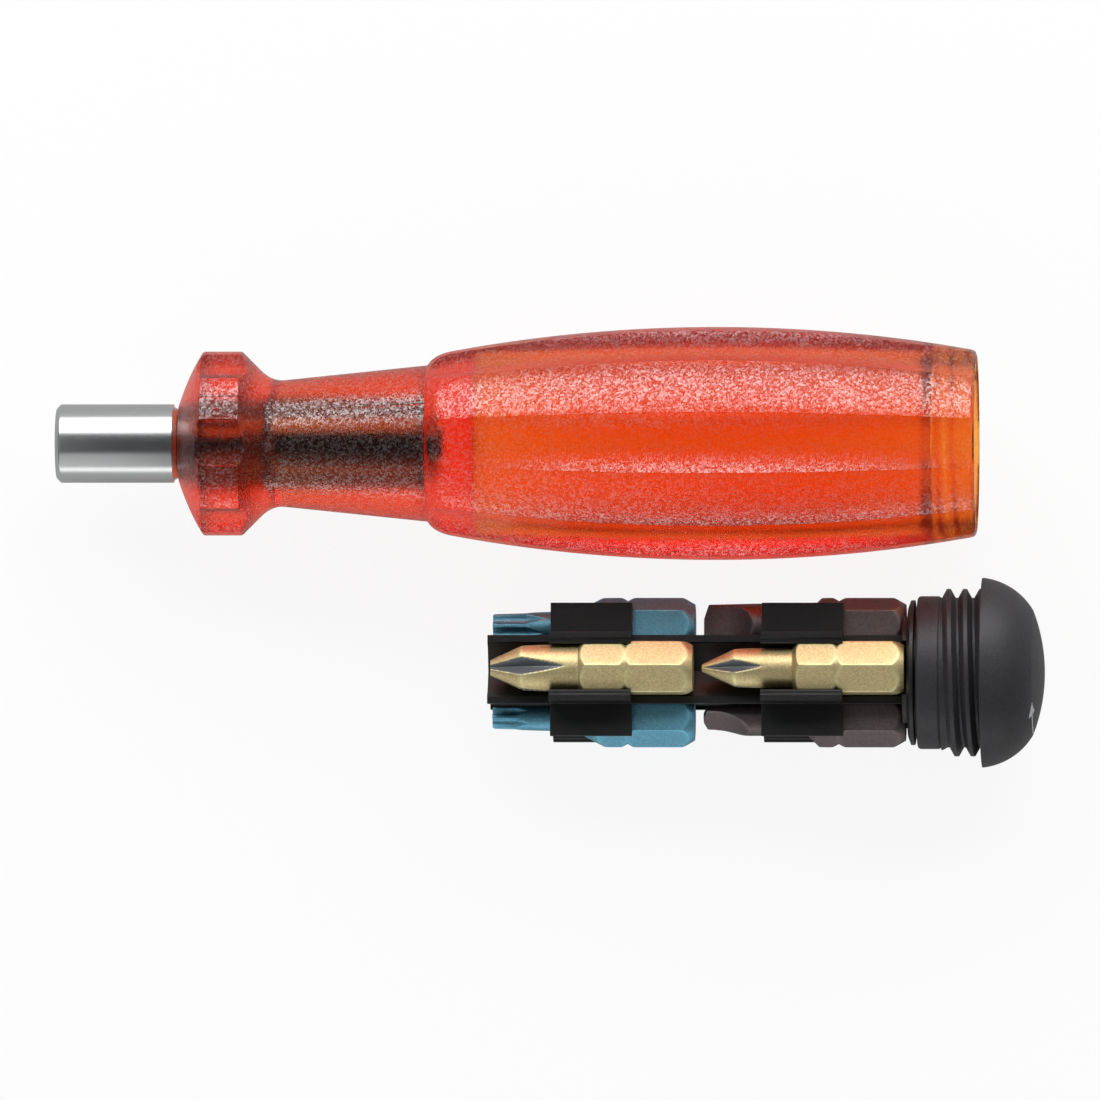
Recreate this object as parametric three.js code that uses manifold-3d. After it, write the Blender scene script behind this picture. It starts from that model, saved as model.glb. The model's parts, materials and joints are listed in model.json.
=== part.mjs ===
// Bit holder screwdriver: a fluted translucent handle with a magnetic hex socket, and the
// bit magazine that stores in the handle, drawn out and laid beside it with its eight bits.
// Millimetres, +Z up. Both lie on the plane z = 0, and the origin is the middle of that
// plane under the whole layout. Every turned piece is drawn along +X, tip first.

import * as THREE from "three";
import { mergeVertices } from "three/addons/utils/BufferGeometryUtils.js";
import Module from "manifold-3d";

const wasm = await Module();
wasm.setup();

// Fits
const CLEARANCE = 0.3; // between pieces that are pressed, snapped or set into each other
const BIT_CLEARANCE = 0.15; // between a bit and its channel in the magazine

// Hex bits, 25 mm long
const HEX_FLATS = 6.35;
const BIT_LENGTH = 25;
const HEX_REAR_ANGLE = 30;
const HEX_REAR_RADIUS = 2.8;
const NOTCH_FROM_REAR = 8.3;
const NOTCH_HALF_WIDTH = 0.77;
const NOTCH_DEPTH = 0.45;
const CROSS_POINT_ANGLE = 26; // half angle of the cone at the point of a cross bit
const STAR_WAIST = 0.715; // star drive: distance across the valleys, as a share of across the lobes
const STAR_VALLEY = 0.21; // star drive: radius of a valley, as a share of across the lobes
const STAR_SHANK_GROWTH = 0.6; // how much thicker the shank gets between lobes and hex
const STAR_TIP_CHAMFER = 0.1;
const SLOT_PARALLEL = 1; // length of the flat end of a slotted blade
const SLOT_HOLLOW = 0.62; // where the ground hollow turns up, as a share of its length

// Drive tips, measured from the point, the length of each hex shank and the angle of its front
const CROSS_2 = { shank: 5.8, point: 2, web: 0.75, flute: 9.1, hex: 14.1, front: 40 };
const CROSS_1 = { shank: 4.9, point: 0.9, web: 0.5, flute: 7.4, hex: 13.8, front: 54 };
const STAR_10 = { across: 2.8, lobes: 4.4, hex: 14.7, front: 28 };
const STAR_15 = { across: 3.35, lobes: 6.3, hex: 14.5, front: 28 };
const STAR_20 = { across: 3.95, lobes: 6.5, hex: 13.9, front: 28 };
const STAR_25 = { across: 4.5, lobes: 6.8, hex: 13.4, front: 28 };
const SLOT_WIDE = { width: 5.5, thickness: 1, ground: 6.1, shank: 5.8, hex: 11.15, front: 45 };
const SLOT_NARROW = { width: 4, thickness: 0.8, ground: 5.6, shank: 4.4, hex: 12.1, front: 45 };

// Steel socket at the front of the handle
const SLEEVE_DIAMETER = 9.7;
const SLEEVE_LENGTH = 15.06;
const SLEEVE_FRONT_CHAMFER = 0.55;
const SLEEVE_REAR_STEP = 0.55; // length of the narrower ring at the back of the sleeve
const SLEEVE_REAR_DROP = 0.3; // how far that ring stands back from the sleeve's surface
const SOCKET_DEPTH = 8.5;
const SOCKET_PLAY = 0.15; // hex socket over hex bit, across the flats
const SOCKET_LEAD_IN = 0.1; // width of the cone round the corners of the socket's mouth
const MAGNET_DIAMETER = 6;
const MAGNET_LENGTH = 2.5;
const SHANK_DIAMETER = 8;
const SHANK_SPIGOT_DIAMETER = 7.2;
const SHANK_END = 48.5; // inner end of the shank, from the front of the sleeve
const SHANK_CHAMFER = 0.8;
const SHANK_FLATS = 6.6; // across the two flats that keep the shank from turning
const SHANK_FLATS_FROM = 24;
const SHANK_FLATS_TO = 42;

// Handle, measured along its axis from the front of the sleeve
const FRONT_GAP = 0.1; // sleeve to handle
const FRONT_RADIUS = 4.8;
const COLLAR_FRONT = 18.2;
const COLLAR_BACK = 22.95;
const COLLAR_RADIUS = 11.36;
const COLLAR_FLUTE_DEPTH = 0.4;
const DOME_ANGLES = [71.5, 57]; // slope of the front dome at its inner and outer edge
const COLLAR_RUN_OUT = 2.3; // length of the 45 degree slope behind the collar
const NECK_FRONT = 28.2;
const NECK_FRONT_RADIUS = 7.83;
const NECK_BACK = 45.5;
const NECK_BACK_RADIUS = 9.62;
const SHOULDER_ANGLE = 62;
const SHOULDER_LENGTH = 3.1;
const BARREL_CREST = 81.5; // where the barrel is thickest
const BARREL_RADIUS = 14.4;
const BARREL_SWELL = 180; // radius of the barrel's long curve
const BARREL_FLUTE_DEPTH = 0.3;
const HANDLE_LENGTH = 113.7;
const HANDLE_END_ROUND = 0.7;
const FLUTES = 6;
const FLUTE_HALF_ANGLE = 15;

// Magazine, measured along its axis from its open end
const BIT_CIRCLE = 5.65; // distance from the magazine's axis to a bit's axis
const CORE_HALF_WIDTH = 4.2;
const CLIP_FROM = 7.8;
const CLIP_LENGTH = 10.1;
const CLIP_REACH = 8.26;
const CLIP_ARM = 0.95;
const CLIP_LEAD_IN = 0.4;
const ROW_GAP = 1.1; // between the bits of the two rows
const ROW_PITCH = BIT_LENGTH + ROW_GAP;
const BIT_START = 0.5;
const POCKET_DEPTH = 0.6; // how far the bits at the cap stand in the end disc
const DISC_DIAMETER = 14.8; // at the front, from where it widens to the flange
const DISC_THICKNESS = 0.95;
const FLANGE_DIAMETER = 18;
const FLANGE_THICKNESS = 0.5;
const SPIGOT_DIAMETER = 15.2;
const SPIGOT_LENGTH = 5.6;
const BEAD_HEIGHT = 0.45;
const BEAD_WIDTH = 0.9;
const BEAD_FROM = 3.6; // from the flange to the snap bead

// Cap
const PLUG_DIAMETER = 18.9;
const PLUG_ROUND = 0.5;
const PLUG_LENGTH = 2.9;
const THREAD_DIAMETER = 20.7; // over the crests of the closing thread
const THREAD_LENGTH = 5.06;
const THREAD_LEAD_IN = 0.6;
const CAP_DIAMETER = 23.54;
const CAP_SIDE_HEIGHT = 6.3;
const CAP_SIDE_RADIUS = 8.25; // radius of the arc up the side of the dome
const CAP_CROWN_DIAMETER = 15.4;
const CAP_CROWN_HEIGHT = 1.43;

// Bore of the handle, round the magazine and the cap's thread
const BORE_RADIUS = BIT_CIRCLE + HEX_FLATS / Math.sqrt(3) + CLEARANCE;
const MOUTH_RADIUS = THREAD_DIAMETER / 2 + CLEARANCE;
const MOUTH_STEP = 0.6;

// Layout on the table
const AXIS_SPACING = 28.3; // across, between the two axes
const MAGAZINE_OFFSET = 53.4; // along, from the front of the sleeve to the magazine's open end
const MAGAZINE_ROLL = 6;
const TOP = 0; // sides of the magazine, turned about its axis
const HANDLE_SIDE = -90;
const UNDER = 180;
const OPEN_SIDE = 90;

// Colours
const RED = 0xd8301c;
const STEEL = 0xb9bbbd;
const BLACK = 0x1c1c1d;
const GOLD = 0xb4975e;
const BLUE = 0x4a6fa0;
const BRONZE = 0x4c4540;

// Fineness of the round surfaces
const ARC_STEPS = 3;
const HANDLE_SIDES = 48;
const ROUND_SIDES = 36;
const BIT_SIDES = 24;
const CUTTER_SIDES = 12;
const GRIND_STEPS = 6;
const OVERSHOOT = 1; // how far a cutter runs past what it cuts
const MERGE_DISTANCE = 1e-5;

const radians = THREE.MathUtils.degToRad;
const HEX_CORNER = HEX_FLATS / Math.sqrt(3);
const ALONG_X = new THREE.Matrix4().makeBasis(
  new THREE.Vector3(0, 1, 0),
  new THREE.Vector3(0, 0, 1),
  new THREE.Vector3(1, 0, 0),
);

// Solids

function solidOf(geometry) {
  const bare = geometry.clone();
  bare.deleteAttribute("normal");
  bare.deleteAttribute("uv");
  const merged = mergeVertices(bare, MERGE_DISTANCE);
  const corners = merged.index.array;
  const kept = [];
  for (let i = 0; i < corners.length; i += 3) {
    const [a, b, c] = corners.slice(i, i + 3);
    if (a !== b && b !== c && c !== a) {
      kept.push(a, b, c);
    }
  }
  return new wasm.Manifold(
    new wasm.Mesh({
      numProp: 3,
      vertProperties: new Float32Array(merged.attributes.position.array),
      triVerts: new Uint32Array(kept),
    }),
  );
}

function geometryOf(solid) {
  const mesh = solid.getMesh();
  const geometry = new THREE.BufferGeometry();
  geometry.setAttribute("position", new THREE.BufferAttribute(mesh.vertProperties, 3));
  geometry.setIndex(new THREE.BufferAttribute(mesh.triVerts, 1));
  geometry.computeVertexNormals();
  return geometry;
}

// A solid of revolution about X, from a path of (along the axis, radius).
function turned(path, sides) {
  const points = path
    .getPoints(ARC_STEPS)
    .map((point) => new THREE.Vector2(Math.max(point.y, 0), point.x));
  return new THREE.LatheGeometry(points, sides).rotateZ(-Math.PI / 2);
}

// A prism along X, from an outline in (Y, Z).
function prism(outline, from, to) {
  const shape = new THREE.Shape(outline.map(([y, z]) => new THREE.Vector2(y, z)));
  const settings = { depth: to - from, bevelEnabled: false };
  return new THREE.ExtrudeGeometry(shape, settings).applyMatrix4(ALONG_X).translate(from, 0, 0);
}

// A regular hexagon with a corner towards +Z.
function hexagon(acrossFlats) {
  const corner = acrossFlats / Math.sqrt(3);
  return [0, 60, 120, 180, 240, 300].map((angle) => [
    -corner * Math.sin(radians(angle)),
    corner * Math.cos(radians(angle)),
  ]);
}

// A bend that leaves the path's last point at one slope and reaches its end at another.
function bend(path, startAngle, endAngle, endX, endRadius) {
  const { x, y } = path.currentPoint;
  const startSlope = Math.tan(radians(startAngle));
  const endSlope = Math.tan(radians(endAngle));
  const cornerX = (endRadius - y + startSlope * x - endSlope * endX) / (startSlope - endSlope);
  path.quadraticCurveTo(cornerX, y + startSlope * (cornerX - x), endX, endRadius);
}

function slopeAngle(fromX, fromRadius, toX, toRadius) {
  return THREE.MathUtils.radToDeg(Math.atan2(toRadius - fromRadius, toX - fromX));
}

// Handle

function barrelRadius(x) {
  return BARREL_RADIUS - BARREL_SWELL + Math.sqrt(BARREL_SWELL ** 2 - (x - BARREL_CREST) ** 2);
}

// Radius of a flute's hollow floor beside a land of the given radius, or Infinity on the land.
function fluteFloor(landRadius, depth, angle) {
  const pitch = (2 * Math.PI) / FLUTES;
  const offset = angle - pitch * Math.round(angle / pitch);
  const share = Math.abs(offset) / radians(FLUTE_HALF_ANGLE);
  if (share > 1) {
    return Infinity;
  }
  const chord = landRadius * Math.cos(radians(FLUTE_HALF_ANGLE));
  return (chord - depth * (1 - share ** 2)) / Math.cos(offset);
}

function handleProfile() {
  const front = SLEEVE_LENGTH + FRONT_GAP;
  const shankBore = SHANK_DIAMETER / 2 + CLEARANCE;
  const shoulder = NECK_BACK + SHOULDER_LENGTH;
  const neckAngle = slopeAngle(NECK_FRONT, NECK_FRONT_RADIUS, NECK_BACK, NECK_BACK_RADIUS);
  const barrelEnd = HANDLE_LENGTH - HANDLE_END_ROUND;
  const endRadius = barrelRadius(HANDLE_LENGTH);
  const swell = (x) => Math.PI / 2 - Math.asin((x - BARREL_CREST) / BARREL_SWELL);
  const shoulderSlope = THREE.MathUtils.radToDeg(swell(shoulder)) - 90;
  const collarFlute = COLLAR_RADIUS - fluteFloor(COLLAR_RADIUS, COLLAR_FLUTE_DEPTH, 0);
  const path = new THREE.Path();
  path.moveTo(SHANK_END + CLEARANCE, 0);
  path.lineTo(SHANK_END + CLEARANCE, shankBore);
  path.lineTo(front, shankBore);
  path.lineTo(front, FRONT_RADIUS);
  bend(path, DOME_ANGLES[0], DOME_ANGLES[1], COLLAR_FRONT, COLLAR_RADIUS);
  path.lineTo(COLLAR_BACK, COLLAR_RADIUS);
  path.lineTo(COLLAR_BACK + collarFlute, COLLAR_RADIUS - collarFlute);
  path.lineTo(COLLAR_BACK + COLLAR_RUN_OUT, COLLAR_RADIUS - COLLAR_RUN_OUT);
  bend(path, -45, neckAngle, NECK_FRONT, NECK_FRONT_RADIUS);
  path.lineTo(NECK_BACK, NECK_BACK_RADIUS);
  bend(path, SHOULDER_ANGLE, shoulderSlope, shoulder, barrelRadius(shoulder));
  path.absarc(
    BARREL_CREST,
    BARREL_RADIUS - BARREL_SWELL,
    BARREL_SWELL,
    swell(shoulder),
    swell(barrelEnd),
    true,
  );
  path.quadraticCurveTo(HANDLE_LENGTH, endRadius, HANDLE_LENGTH, endRadius - HANDLE_END_ROUND);
  path.lineTo(HANDLE_LENGTH, MOUTH_RADIUS);
  path.lineTo(mouthBottom(), MOUTH_RADIUS);
  path.lineTo(mouthBottom() - MOUTH_STEP, BORE_RADIUS);
  path.lineTo(boreBottom(), BORE_RADIUS);
  path.lineTo(boreBottom(), 0);
  return path;
}

function mouthBottom() {
  return HANDLE_LENGTH - THREAD_LENGTH - CLEARANCE;
}

// The bore takes the magazine up to the cap's underside.
function boreBottom() {
  return HANDLE_LENGTH - capUnderside() - 2 * CLEARANCE;
}

function handleGeometry() {
  const geometry = turned(handleProfile(), HANDLE_SIDES);
  const place = geometry.attributes.position;
  for (let i = 0; i < place.count; i += 1) {
    const x = place.getX(i);
    const radius = Math.hypot(place.getY(i), place.getZ(i));
    const angle = Math.atan2(place.getY(i), place.getZ(i));
    const floor =
      x < NECK_FRONT
        ? fluteFloor(COLLAR_RADIUS, COLLAR_FLUTE_DEPTH, angle)
        : fluteFloor(barrelRadius(x), BARREL_FLUTE_DEPTH, angle);
    const scale = Math.min(1, floor / radius);
    if (radius > BORE_RADIUS + CLEARANCE && scale < 1) {
      place.setY(i, place.getY(i) * scale);
      place.setZ(i, place.getZ(i) * scale);
    }
  }
  return geometry;
}

// Steel socket

function shankGeometry() {
  const spigotFront = SOCKET_DEPTH + MAGNET_LENGTH + CLEARANCE;
  const shoulder = SLEEVE_LENGTH + CLEARANCE;
  const radius = SHANK_DIAMETER / 2;
  const path = new THREE.Path();
  path.moveTo(spigotFront, 0);
  path.lineTo(spigotFront, SHANK_SPIGOT_DIAMETER / 2);
  path.lineTo(shoulder, SHANK_SPIGOT_DIAMETER / 2);
  path.lineTo(shoulder, radius);
  path.lineTo(SHANK_END - SHANK_CHAMFER, radius);
  path.lineTo(SHANK_END, radius - SHANK_CHAMFER);
  path.lineTo(SHANK_END, 0);
  let shank = solidOf(turned(path, ROUND_SIDES));
  const half = SHANK_FLATS / 2;
  for (const side of [-1, 1]) {
    const outline = [
      [-radius, side * half],
      [radius, side * half],
      [radius, side * (half + radius)],
      [-radius, side * (half + radius)],
    ];
    shank = shank.subtract(solidOf(prism(outline, SHANK_FLATS_FROM, SHANK_FLATS_TO)));
  }
  return geometryOf(shank);
}

function sleeveGeometry() {
  const radius = SLEEVE_DIAMETER / 2;
  const ring = radius - SLEEVE_REAR_DROP;
  const body = new THREE.Path();
  body.moveTo(0, 0);
  body.lineTo(0, radius - SLEEVE_FRONT_CHAMFER);
  body.lineTo(SLEEVE_FRONT_CHAMFER, radius);
  body.lineTo(SLEEVE_LENGTH - SLEEVE_REAR_STEP, radius);
  body.lineTo(SLEEVE_LENGTH - SLEEVE_REAR_STEP, ring);
  body.lineTo(SLEEVE_LENGTH, ring - SLEEVE_REAR_DROP);
  body.lineTo(SLEEVE_LENGTH, 0);

  const socketFlats = HEX_FLATS + SOCKET_PLAY;
  const socketCorner = socketFlats / Math.sqrt(3);
  const socketEnd = SOCKET_DEPTH + MAGNET_LENGTH;
  const socketMouth = socketCorner + SOCKET_LEAD_IN;
  const leadIn = new THREE.Path();
  leadIn.moveTo(-OVERSHOOT, 0);
  leadIn.lineTo(-OVERSHOOT, socketMouth + OVERSHOOT);
  leadIn.lineTo(socketMouth - socketFlats / 2, socketFlats / 2);
  leadIn.lineTo(socketMouth - socketFlats / 2, 0);

  const seat = new THREE.Path();
  seat.moveTo(socketEnd, 0);
  seat.lineTo(socketEnd, SHANK_SPIGOT_DIAMETER / 2 + CLEARANCE);
  seat.lineTo(SLEEVE_LENGTH + OVERSHOOT, SHANK_SPIGOT_DIAMETER / 2 + CLEARANCE);
  seat.lineTo(SLEEVE_LENGTH + OVERSHOOT, 0);

  return geometryOf(
    solidOf(turned(body, ROUND_SIDES))
      .subtract(solidOf(prism(hexagon(socketFlats), -OVERSHOOT, socketEnd + OVERSHOOT)))
      .subtract(solidOf(turned(leadIn, ROUND_SIDES)))
      .subtract(solidOf(turned(seat, ROUND_SIDES))),
  );
}

function magnetGeometry() {
  const length = MAGNET_LENGTH;
  const disc = new THREE.CylinderGeometry(MAGNET_DIAMETER / 2, MAGNET_DIAMETER / 2, length, BIT_SIDES);
  return disc.rotateZ(Math.PI / 2).translate(SOCKET_DEPTH + length / 2, 0, 0);
}

// Bits, drawn with the tip at x = 0 and a hex corner towards +Z

// The hex shank is a hexagonal bar turned down at both ends and notched round its corners.
function hexShank(from, frontRadius, frontAngle) {
  const outside = HEX_CORNER + CLEARANCE;
  const frontLength = (outside - frontRadius) / Math.tan(radians(frontAngle));
  const rearLength = (outside - HEX_REAR_RADIUS) / Math.tan(radians(HEX_REAR_ANGLE));
  const notch = BIT_LENGTH - NOTCH_FROM_REAR;
  const notchReach = (NOTCH_HALF_WIDTH * (NOTCH_DEPTH + CLEARANCE)) / NOTCH_DEPTH;
  const turning = new THREE.Path();
  turning.moveTo(from, 0);
  turning.lineTo(from, frontRadius);
  turning.lineTo(from + frontLength, outside);
  turning.lineTo(notch - notchReach, outside);
  turning.lineTo(notch, HEX_CORNER - NOTCH_DEPTH);
  turning.lineTo(notch + notchReach, outside);
  turning.lineTo(BIT_LENGTH - rearLength, outside);
  turning.lineTo(BIT_LENGTH, HEX_REAR_RADIUS);
  turning.lineTo(BIT_LENGTH, 0);
  const bar = prism(hexagon(HEX_FLATS), from - OVERSHOOT, BIT_LENGTH + OVERSHOOT);
  return solidOf(turned(turning, BIT_SIDES)).intersect(solidOf(bar));
}

// The round front of a bit: a point of one radius that grows to the shank, run into the hex.
function roundFront(pointRadius, pointLength, shankRadius, neckRadius, hexFrom) {
  const path = new THREE.Path();
  path.moveTo(0, 0);
  path.lineTo(0, pointRadius);
  path.lineTo(pointLength, shankRadius);
  path.lineTo(hexFrom, neckRadius);
  path.lineTo(hexFrom + OVERSHOOT, neckRadius);
  path.lineTo(hexFrom + OVERSHOOT, 0);
  return solidOf(turned(path, BIT_SIDES));
}

// Cross bit: a coned point with four V flutes that run out along the shank.
function crossBit({ shank, point, web, flute, hex, front }) {
  const hexFrom = BIT_LENGTH - hex;
  const radius = shank / 2;
  const coneLength = (radius - point / 2) / Math.tan(radians(CROSS_POINT_ANGLE));
  const rise = Math.atan2(radius - web, flute);
  let bit = roundFront(point / 2, coneLength, radius, radius, hexFrom);
  const vee = [
    [0, 0],
    [shank, shank],
    [-shank, shank],
  ];
  for (let k = 0; k < 4; k += 1) {
    const cutter = prism(vee, -shank, flute + shank).rotateY(-rise).translate(0, 0, web);
    bit = bit.subtract(solidOf(cutter.rotateX((k * Math.PI) / 2)));
  }
  return geometryOf(bit.add(hexShank(hexFrom, radius, front)));
}

// Star bit: six round valleys milled along the point, running out on the shank.
function starBit({ across, lobes, hex, front }) {
  const hexFrom = BIT_LENGTH - hex;
  const radius = across / 2;
  const neck = radius + STAR_SHANK_GROWTH / 2;
  const valley = STAR_VALLEY * across;
  const valleyAxis = (STAR_WAIST * across) / 2 + valley;
  const runOut = lobes / 3;
  const cutterPath = new THREE.Path();
  cutterPath.moveTo(-OVERSHOOT, 0);
  cutterPath.lineTo(-OVERSHOOT, valley);
  cutterPath.lineTo(lobes - runOut, valley);
  cutterPath.lineTo(lobes, 0);
  let bit = roundFront(radius - STAR_TIP_CHAMFER, 2 * STAR_TIP_CHAMFER, radius, neck, hexFrom);
  for (let k = 0; k < 6; k += 1) {
    const cutter = turned(cutterPath, CUTTER_SIDES).translate(0, 0, valleyAxis);
    bit = bit.subtract(solidOf(cutter.rotateX((k * Math.PI) / 3)));
  }
  return geometryOf(bit.add(hexShank(hexFrom, neck, front)));
}

// Slotted bit: a round shank ground hollow on two sides to a flat blade.
function slotBit({ width, thickness, ground, shank, hex, front }) {
  const hexFrom = BIT_LENGTH - hex;
  const radius = shank / 2;
  let bit = roundFront(width / 2, ground, radius, radius, hexFrom);
  const grind = new THREE.Shape();
  grind.moveTo(-OVERSHOOT, thickness / 2);
  grind.lineTo(SLOT_PARALLEL, thickness / 2);
  grind.quadraticCurveTo(ground * SLOT_HOLLOW, thickness / 2, ground, radius);
  grind.lineTo(ground + OVERSHOOT, radius + OVERSHOOT);
  grind.lineTo(-OVERSHOOT, radius + OVERSHOOT);
  const settings = { depth: 2 * shank, bevelEnabled: false, curveSegments: GRIND_STEPS };
  for (const turn of [0, Math.PI]) {
    const cutter = new THREE.ExtrudeGeometry(grind, settings).translate(0, 0, -shank);
    bit = bit.subtract(solidOf(cutter.rotateX(turn)));
  }
  return geometryOf(bit.add(hexShank(hexFrom, radius, front)));
}

// Magazine

function flangeBack() {
  const discFront = BIT_START + ROW_PITCH + BIT_LENGTH + CLEARANCE - POCKET_DEPTH;
  return discFront + DISC_THICKNESS + FLANGE_THICKNESS;
}

function plugFront() {
  return flangeBack() + CLEARANCE;
}

function capUnderside() {
  return plugFront() + PLUG_LENGTH + THREAD_LENGTH;
}

function square(halfWidth, halfHeight) {
  return [
    [-halfWidth, -halfHeight],
    [halfWidth, -halfHeight],
    [halfWidth, halfHeight],
    [-halfWidth, halfHeight],
  ];
}

// The V floored channel that a bit lies in, corner inwards, opening towards +Z.
function channelOutline() {
  const half = HEX_FLATS / 2 + BIT_CLEARANCE;
  const floor = BIT_CIRCLE - HEX_CORNER - BIT_CLEARANCE / Math.cos(radians(30));
  const wall = floor + half * Math.tan(radians(30));
  const top = BIT_CIRCLE + HEX_FLATS;
  const mouth = half + CLIP_LEAD_IN;
  return [
    [0, floor],
    [half, wall],
    [half, CLIP_REACH - CLIP_LEAD_IN],
    [mouth, CLIP_REACH],
    [mouth, top],
    [-mouth, top],
    [-mouth, CLIP_REACH],
    [-half, CLIP_REACH - CLIP_LEAD_IN],
    [-half, wall],
  ];
}

function magazineGeometry() {
  const back = flangeBack();
  const discFront = back - FLANGE_THICKNESS - DISC_THICKNESS;
  const armOutside = HEX_FLATS / 2 + BIT_CLEARANCE + CLIP_ARM;
  let body = solidOf(prism(square(CORE_HALF_WIDTH, CORE_HALF_WIDTH), 0, back));
  for (const row of [0, 1]) {
    const from = CLIP_FROM + row * ROW_PITCH;
    body = body.add(solidOf(prism(square(armOutside, CLIP_REACH), from, from + CLIP_LENGTH)));
    body = body.add(solidOf(prism(square(CLIP_REACH, armOutside), from, from + CLIP_LENGTH)));
  }

  const spigot = SPIGOT_DIAMETER / 2;
  const bead = back + BEAD_FROM;
  const end = new THREE.Path();
  end.moveTo(discFront, 0);
  end.lineTo(discFront, DISC_DIAMETER / 2);
  end.lineTo(discFront + DISC_THICKNESS, FLANGE_DIAMETER / 2);
  end.lineTo(back, FLANGE_DIAMETER / 2);
  end.lineTo(back, spigot);
  end.lineTo(bead, spigot);
  end.lineTo(bead + BEAD_WIDTH / 3, spigot + BEAD_HEIGHT);
  end.lineTo(bead + BEAD_WIDTH, spigot + BEAD_HEIGHT);
  end.lineTo(back + SPIGOT_LENGTH, spigot - BEAD_HEIGHT);
  end.lineTo(back + SPIGOT_LENGTH, 0);
  body = body.add(solidOf(turned(end, ROUND_SIDES)));

  for (let k = 0; k < 4; k += 1) {
    const channel = prism(channelOutline(), -OVERSHOOT, discFront + POCKET_DEPTH);
    body = body.subtract(solidOf(channel.rotateX((k * Math.PI) / 2)));
  }
  return geometryOf(body);
}

// Cap

function capGeometry() {
  const front = plugFront();
  const underside = capUnderside();
  const back = flangeBack();
  const bore = SPIGOT_DIAMETER / 2 + CLEARANCE;
  const groove = bore + BEAD_HEIGHT;
  const grooveFrom = back + BEAD_FROM - CLEARANCE;
  const grooveTo = back + BEAD_FROM + BEAD_WIDTH + CLEARANCE;
  const boreEnd = back + SPIGOT_LENGTH + CLEARANCE;
  const plug = PLUG_DIAMETER / 2;
  const thread = THREAD_DIAMETER / 2;
  const threadFrom = front + PLUG_LENGTH;
  const rim = CAP_DIAMETER / 2;
  const crown = CAP_CROWN_DIAMETER / 2;
  const shoulder = underside + CAP_SIDE_HEIGHT;
  const side = arcCentre(underside, rim, shoulder, crown, CAP_SIDE_RADIUS);
  const crownRadius = (crown ** 2 + CAP_CROWN_HEIGHT ** 2) / (2 * CAP_CROWN_HEIGHT);
  const crownCentre = shoulder + CAP_CROWN_HEIGHT - crownRadius;

  const path = new THREE.Path();
  path.moveTo(boreEnd, 0);
  path.lineTo(boreEnd, bore);
  path.lineTo(grooveTo, bore);
  path.lineTo(grooveTo, groove);
  path.lineTo(grooveFrom, groove);
  path.lineTo(grooveFrom, bore);
  path.lineTo(front, bore);
  path.lineTo(front, plug - PLUG_ROUND);
  path.quadraticCurveTo(front, plug, front + PLUG_ROUND, plug);
  path.lineTo(threadFrom, plug);
  path.lineTo(threadFrom + THREAD_LEAD_IN, thread);
  path.lineTo(underside, thread);
  path.lineTo(underside, rim);
  path.absarc(
    side.x,
    side.y,
    CAP_SIDE_RADIUS,
    Math.atan2(rim - side.y, underside - side.x),
    Math.atan2(crown - side.y, shoulder - side.x),
    true,
  );
  path.absarc(crownCentre, 0, crownRadius, Math.atan2(crown, shoulder - crownCentre), 0, true);
  return turned(path, ROUND_SIDES);
}

// Centre of the arc of a given radius that bulges outwards between two points.
function arcCentre(x0, y0, x1, y1, radius) {
  const half = Math.hypot(x1 - x0, y1 - y0) / 2;
  const drop = Math.sqrt(radius ** 2 - half ** 2) / (2 * half);
  return new THREE.Vector2((x0 + x1) / 2 + (y1 - y0) * drop, (y0 + y1) / 2 - (x1 - x0) * drop);
}

// Scene

function piece(name, geometry, color, roughness, metalness) {
  const mesh = new THREE.Mesh(geometry, new THREE.MeshStandardMaterial({ color, roughness, metalness }));
  mesh.name = name;
  return mesh;
}

// Turns and lifts a group about Y so that it lies on z = 0 on the two points under its middle.
function layDown(group) {
  group.updateMatrixWorld(true);
  const points = [];
  group.traverse((object) => {
    if (object.isMesh) {
      const place = object.geometry.attributes.position;
      for (let i = 0; i < place.count; i += 1) {
        points.push(new THREE.Vector3().fromBufferAttribute(place, i).applyMatrix4(object.matrixWorld));
      }
    }
  });
  points.sort((a, b) => a.x - b.x || a.z - b.z);
  const hull = [];
  for (const point of points) {
    while (hull.length > 1 && turnOf(hull.at(-2), hull.at(-1), point) <= 0) {
      hull.pop();
    }
    hull.push(point);
  }
  const middle = (points[0].x + points.at(-1).x) / 2;
  const after = hull.findIndex((point) => point.x > middle);
  const [left, right] = [hull[after - 1], hull[after]];
  const tilt = Math.atan2(right.z - left.z, right.x - left.x);
  group.rotation.y = tilt;
  group.position.z = left.x * Math.sin(tilt) - left.z * Math.cos(tilt);
}

function turnOf(a, b, c) {
  return (b.x - a.x) * (c.z - a.z) - (b.z - a.z) * (c.x - a.x);
}

// Row 0 is at the open end, row 1 at the cap. A twist turns a bit in its channel by sixths.
const BITS = [
  { name: "bit_cross_2", row: 0, side: TOP, twist: 0, color: GOLD, form: crossBit(CROSS_2) },
  { name: "bit_star_15", row: 0, side: HANDLE_SIDE, twist: 0, color: BLUE, form: starBit(STAR_15) },
  { name: "bit_star_20", row: 0, side: UNDER, twist: 0, color: BLUE, form: starBit(STAR_20) },
  { name: "bit_star_10", row: 0, side: OPEN_SIDE, twist: 0, color: BLUE, form: starBit(STAR_10) },
  { name: "bit_cross_1", row: 1, side: TOP, twist: 0, color: GOLD, form: crossBit(CROSS_1) },
  { name: "bit_slot_wide", row: 1, side: HANDLE_SIDE, twist: 0, color: BRONZE, form: slotBit(SLOT_WIDE) },
  { name: "bit_star_25", row: 1, side: UNDER, twist: 0, color: BLUE, form: starBit(STAR_25) },
  { name: "bit_slot_narrow", row: 1, side: OPEN_SIDE, twist: 60, color: BRONZE, form: slotBit(SLOT_NARROW) },
];

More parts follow.
